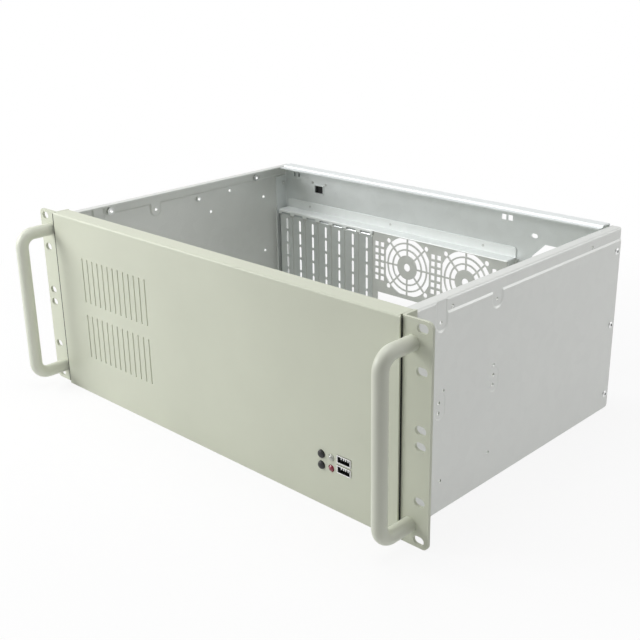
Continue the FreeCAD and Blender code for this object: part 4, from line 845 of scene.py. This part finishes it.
class SERVERCASE_OT_standoffs(Operator):
    """Replace the plain board standoffs with chamfered and threaded brass ones"""

    bl_idname = "server_case.standoffs"
    bl_label = "Board Standoffs"

    def execute(self, context):
        hardware = context.scene.server_case_hardware
        finish = context.scene.server_case_finish
        brass = plated("turned_brass", finish.brass_colour, 0.26)
        mesh = None
        for number, (low, high) in enumerate(solids_of("board_standoffs"), start=1):
            size = high - low
            if mesh is None:
                across = min(size.x, size.y)
                mesh = hex_ring_mesh("board_standoff", across, size.z, hardware)
            seat = ((low.x + high.x) / 2, (low.y + high.y) / 2, low.z)
            piece = place_piece(f"board_standoff_{number}", mesh, brass, seat)
            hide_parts("board_standoffs")
        return {"FINISHED"}


class SERVERCASE_OT_controls(Operator):
    """Dress the buttons, switches, lamps, ports and control board"""

    bl_idname = "server_case.controls"
    bl_label = "Front Controls"

    def execute(self, context):
        finish = context.scene.server_case_finish
        black = moulded("black_plastic", finish.button_colour)
        dress(["power_button", "reset_button", "rear_socket"], black)
        dress(["power_switch", "reset_switch"], moulded("switch_plastic", finish.button_colour, 0.5))
        dress(["power_lamp"], lens("clear_lens", finish.power_colour))
        dress(["disk_lamp"], lens("red_lens", finish.disk_colour))
        dress(["upper_port_shell", "lower_port_shell"], plated("tinned_shell", finish.shell_colour, 0.2))
        dress(["upper_port_tongue", "lower_port_tongue"], moulded("port_plastic", finish.tongue_colour))
        dress(["control_board"], solder_mask("board_lacquer", finish.board_colour))
        return {"FINISHED"}


class SERVERCASE_OT_contacts(Operator):
    """Lay four contact springs on the tongue of each port"""

    bl_idname = "server_case.contacts"
    bl_label = "Port Contacts"

    def execute(self, context):
        finish = context.scene.server_case_finish
        metal = plated("contact_springs", finish.fastener_colour, 0.22)
        for node in ("upper_port_tongue", "lower_port_tongue"):
            low, high = solids_of(node)[0]
            middle = (low.x + high.x) / 2
            top = high.z - TONGUE_DROP
            under = top - TONGUE_SHEET
            front = low.y - CONTACT_SHEET
            shape = bmesh.new()
            for offset in CONTACT_OFFSETS:
                left = middle + offset - CONTACT_HALF_WIDTH
                right = middle + offset + CONTACT_HALF_WIDTH
                lip_low = under - CONTACT_LIP_DROP
                slab(shape, (left, front, lip_low), (right, low.y, top - CONTACT_LIP_TOP))
                slab(shape, (left, front, under - CONTACT_DROP), (right, high.y - CONTACT_END, under))
            mesh = to_mesh(node, shape)
            place_piece(node.replace("tongue", "contacts"), mesh, metal, (0, 0, 0))
        return {"FINISHED"}


class SERVERCASE_OT_seam_shade_strips(Operator):
    """Lay a thin black strip of painted shade in the seam between the front panel and each ear"""

    bl_idname = "server_case.seam_seals"
    bl_label = "Seam Seals"

    def execute(self, context):
        finish = context.scene.server_case_finish
        seam_shade = moulded("seal_rubber", finish.seam_shade_colour, 0.7)
        panel_low, panel_high = solids_of("fascia")[0]
        ear_low = solids_of("right_ear")[0][0]
        front = ear_low.y - STRIP_DEPTH
        back = ear_low.y - STRIP_CLEARANCE
        foot = panel_low.z + STRIP_END_LOW
        top = panel_high.z - STRIP_END_HIGH
        for side, name, reach in SEAM_SHADE_STRIPS:
            near = side * (ear_low.x + STRIP_CLEARANCE)
            far = side * (panel_high.x + reach)
            shape = bmesh.new()
            # The strip is painted shade; on the left it reaches out past the panel's edge so that it shows.
            slab(shape, (min(near, far), front, foot), (max(near, far), back, top))
            outer = [edge for edge in shape.edges if all(abs(v.co.x - far) < 1e-6 for v in edge.verts)]
            bmesh.ops.bevel(shape, geom=outer, offset=STRIP_EDGE, segments=3, affect="EDGES")
            place_piece(name, to_mesh(name, shape), seam_shade, (0, 0, 0))
        return {"FINISHED"}


class SERVERCASE_OT_board_parts(Operator):
    """Solder the joints and a pin header onto the back of the control board"""

    bl_idname = "server_case.board_parts"
    bl_label = "Board Parts"

    def execute(self, context):
        finish = context.scene.server_case_finish
        low, high = solids_of("control_board")[0]
        self.solder(finish, high.y)
        self.lay_header(finish, low, high)
        return {"FINISHED"}

    def solder(self, finish, back):
        """Raise a small cone of solder round every leg."""
        solder = plated("solder_joints", finish.fastener_colour, 0.2)
        outline = [(radius * MM, height * MM) for radius, height in SOLDER_OUTLINE]
        shape = bmesh.new()
        for x, z in self.joint_places():
            start = len(shape.verts)
            turned(shape, outline, SOLDER_ROUNDS)
            shape.verts.ensure_lookup_table()
            place = Matrix.Translation((x, back, z)) @ Matrix.Rotation(-math.pi / 2, 4, "X")
            bmesh.ops.transform(shape, matrix=place, verts=shape.verts[start:])
        place_piece("solder_joints", to_mesh("solder_joints", shape), solder, (0, 0, 0))

    def joint_places(self):
        """Where the legs of the switches, lamps and ports come through the board."""
        places = []
        for node, step_x, step_z in BOARD_LEGS:
            low, high = solids_of(node)[0]
            middle = (low + high) / 2
            for across in (-step_x, step_x):
                for along in sorted({-step_z, step_z}):
                    places.append((middle.x + across * MM, middle.z + along * MM))
        return places

    def lay_header(self, finish, low, high):
        """Two rows of square pins in a moulded base along the foot of the board."""
        base = bmesh.new()
        pins = bmesh.new()
        for column in range(HEADER_COLUMNS):
            for row in range(HEADER_ROWS):
                x = low.x + HEADER_INSET + column * PIN_PITCH
                z = low.z + HEADER_RISE + (row + 0.5) * PIN_PITCH
                self.add_cell(base, x, high.y, z)
                self.add_pin(pins, x, high.y, z)
        black = moulded("header_plastic", finish.button_colour)
        gold = plated("header_gold", finish.contact_colour, 0.2)
        place_piece("header_base", to_mesh("header_base", base), black, (0, 0, 0))
        place_piece("header_pins", to_mesh("header_pins", pins), gold, (0, 0, 0))

    def add_cell(self, base, x, back, z):
        """One bevelled cell of the moulded base."""
        edge = PIN_PITCH / 2 * HEADER_FILL
        verts = slab(base, (x - edge, back, z - edge), (x + edge, back + PIN_PITCH, z + edge))
        rim = []
        for side in base.edges:
            first, second = side.verts
            if first in verts and second in verts and abs(first.co.y - second.co.y) > MM:
                rim.append(side)
        bmesh.ops.bevel(base, geom=rim, offset=HEADER_EDGE, segments=1, affect="EDGES")

    def add_pin(self, pins, x, back, z):
        """One square pin with a narrowed tip."""
        half = PIN_HALF_WIDTH
        tip = back + PIN_PITCH + PIN_LENGTH
        for vertex in slab(pins, (x - half, back, z - half), (x + half, tip, z + half)):
            if vertex.co.y > tip - PIN_TIP:
                vertex.co.x = x + (vertex.co.x - x) * PIN_TIP_SCALE
                vertex.co.z = z + (vertex.co.z - z) * PIN_TIP_SCALE


class SERVERCASE_OT_stage(Operator):
    """Lay the pale floor, hang the soft lamps and set up the camera"""

    bl_idname = "server_case.stage"
    bl_label = "Stage"

    def execute(self, context):
        stage = context.scene.server_case_stage
        self.lay_floor(context, stage)
        self.light_room(context, stage)
        self.hang_lamps(context, stage)
        self.set_camera(context, stage)
        context.scene.view_settings.view_transform = "Standard"
        return {"FINISHED"}

    def lay_floor(self, context, stage):
        """Pale floor that fades to white away from the case and keeps its shadow."""
        shape = bmesh.new()
        bmesh.ops.create_grid(shape, x_segments=8, y_segments=8, size=FLOOR_HALF_WIDTH)
        floor = bpy.data.objects.new("floor", to_mesh("floor", shape))
        floor.location.z = CASE_LOW.z - FLOOR_DROP
        context.collection.objects.link(floor)
        recipe = Recipe("pale_floor")
        grain = recipe.noise(0.02, 3.0)
        recipe.colour(stage.floor_colour, recipe.spread(grain, 0.0, 1.0), 0.995, 1.005)
        recipe.roughness(recipe.spread(grain, 0.75, 0.85))
        recipe.shader.inputs["Specular IOR Level"].default_value = 0.1
        nodes = recipe.tree.nodes
        glow = nodes.new("ShaderNodeEmission")
        glow.inputs["Color"].default_value = WHITE
        mix = nodes.new("ShaderNodeMixShader")
        rays = nodes.new("ShaderNodeLightPath")
        seen = recipe.combine("MAXIMUM", rays.outputs["Is Camera Ray"], rays.outputs["Is Glossy Ray"])
        away = nodes.new("ShaderNodeVectorMath")
        away.operation = "LENGTH"
        recipe.link(recipe.place, away.inputs[0])
        fade = recipe.spread(away.outputs["Value"], *FLOOR_GLOW, *FLOOR_FADE)
        recipe.link(recipe.combine("MULTIPLY", seen, fade), mix.inputs["Fac"])
        recipe.link(recipe.shader.outputs["BSDF"], mix.inputs[1])
        recipe.link(glow.outputs["Emission"], mix.inputs[2])
        recipe.link(mix.outputs["Shader"], nodes["Material Output"].inputs["Surface"])
        floor.data.materials.append(recipe.material)

    def light_room(self, context, stage):
        """Even light from a pale room whose one end is unlit; the camera sees white."""
        world = bpy.data.worlds.new("soft_room")
        context.scene.world = world
        world.use_nodes = True
        nodes = world.node_tree.nodes
        links = world.node_tree.links

        def join(kind, first, second):
            """Work out one value from two sockets."""
            node = nodes.new("ShaderNodeMath")
            node.operation = kind
            links.new(first, node.inputs[0])
            links.new(second, node.inputs[1])
            return node.outputs["Value"]

        background = nodes["Background"]
        background.inputs["Color"].default_value = WHITE
        rays = nodes.new("ShaderNodeLightPath").outputs
        mirrored = join("MAXIMUM", rays["Is Glossy Ray"], rays["Is Transmission Ray"])
        strength = nodes.new("ShaderNodeMapRange")
        strength.inputs["To Min"].default_value = stage.room_light
        strength.inputs["To Max"].default_value = 1.0
        links.new(join("MAXIMUM", rays["Is Camera Ray"], mirrored), strength.inputs["Value"])
        dark_end = nodes.new("ShaderNodeVectorMath")
        dark_end.operation = "DOT_PRODUCT"
        dark_end.inputs[1].default_value = DARK_END_DIRECTION
        links.new(nodes.new("ShaderNodeTexCoord").outputs["Generated"], dark_end.inputs[0])
        shade = nodes.new("ShaderNodeMapRange")
        shade.inputs["From Min"].default_value = DARK_END_FADE[0]
        shade.inputs["From Max"].default_value = DARK_END_FADE[1]
        shade.inputs["To Min"].default_value = 1.0
        shade.inputs["To Max"].default_value = stage.dark_end
        links.new(dark_end.outputs["Value"], shade.inputs["Value"])
        clear = join("MAXIMUM", shade.outputs["Result"], rays["Is Camera Ray"])
        links.new(join("MULTIPLY", strength.outputs["Result"], clear), background.inputs["Strength"])

    def hang_lamps(self, context, stage):
        """Hang the soft lamps, each turned to the middle of the case."""
        middle = (CASE_LOW + CASE_HIGH) / 2
        for name, place, size, power in LAMPS:
            light = bpy.data.lights.new(name, "AREA")
            light.shape = "DISK"
            light.size = size
            light.energy = getattr(stage, power)
            lamp = bpy.data.objects.new(name, light)
            lamp.location = place
            lamp.rotation_mode = "QUATERNION"
            lamp.rotation_quaternion = (middle - Vector(place)).to_track_quat("-Z", "Y")
            context.collection.objects.link(lamp)

    def set_camera(self, context, stage):
        """Stand the camera in front of the right ear, looking down into the case."""
        optics = bpy.data.cameras.new("camera")
        optics.lens = stage.lens
        optics.sensor_width = SENSOR_WIDTH
        optics.clip_start = 0.01
        camera = bpy.data.objects.new("camera", optics)
        camera.location = stage.camera_place
        camera.rotation_euler = stage.camera_turn
        context.collection.objects.link(camera)
        context.scene.camera = camera


OPERATORS = (
    SERVERCASE_OT_coat_front,
    SERVERCASE_OT_coat_handles,
    SERVERCASE_OT_zinc_body,
    SERVERCASE_OT_guard_painted_light,
    SERVERCASE_OT_screws,
    SERVERCASE_OT_rivets,
    SERVERCASE_OT_nuts,
    SERVERCASE_OT_standoffs,
    SERVERCASE_OT_controls,
    SERVERCASE_OT_contacts,
    SERVERCASE_OT_seam_shade_strips,
    SERVERCASE_OT_board_parts,
    SERVERCASE_OT_stage,
)


class SERVERCASE_PT_sidebar(Panel):
    """Steps and settings of the server case"""

    bl_idname = "SERVERCASE_PT_sidebar"
    bl_label = "Server Case"
    bl_space_type = "VIEW_3D"
    bl_region_type = "UI"
    bl_category = "Server Case"

    def draw(self, context):
        """List the steps, then every setting under its group."""
        for operator in OPERATORS:
            self.layout.operator(operator.bl_idname)
        for attribute, group in SETTINGS.items():
            box = self.layout.box()
            box.label(text=group.__doc__)
            for name in group.__annotations__:
                box.prop(getattr(context.scene, attribute), name)


def register():
    """Add the settings, operators and panel."""
    for group in SETTINGS.values():
        bpy.utils.register_class(group)
    for attribute, group in SETTINGS.items():
        setattr(bpy.types.Scene, attribute, PointerProperty(type=group))
    for operator in OPERATORS:
        bpy.utils.register_class(operator)
    bpy.utils.register_class(SERVERCASE_PT_sidebar)


def unregister():
    """Take away what register added."""
    bpy.utils.unregister_class(SERVERCASE_PT_sidebar)
    for operator in reversed(OPERATORS):
        bpy.utils.unregister_class(operator)
    for attribute in SETTINGS:
        delattr(bpy.types.Scene, attribute)
    for group in reversed(list(SETTINGS.values())):
        bpy.utils.unregister_class(group)


def main():
    """Dress the case and set the stage."""
    register()
    bpy.ops.server_case.coat_front()
    bpy.ops.server_case.coat_handles()
    bpy.ops.server_case.zinc_body()
    bpy.ops.server_case.bright_guard()
    bpy.ops.server_case.screws()
    bpy.ops.server_case.rivets()
    bpy.ops.server_case.nuts()
    bpy.ops.server_case.standoffs()
    bpy.ops.server_case.controls()
    bpy.ops.server_case.contacts()
    bpy.ops.server_case.seam_seals()
    bpy.ops.server_case.board_parts()
    bpy.ops.server_case.stage()


if __name__ == "__main__":
    main()
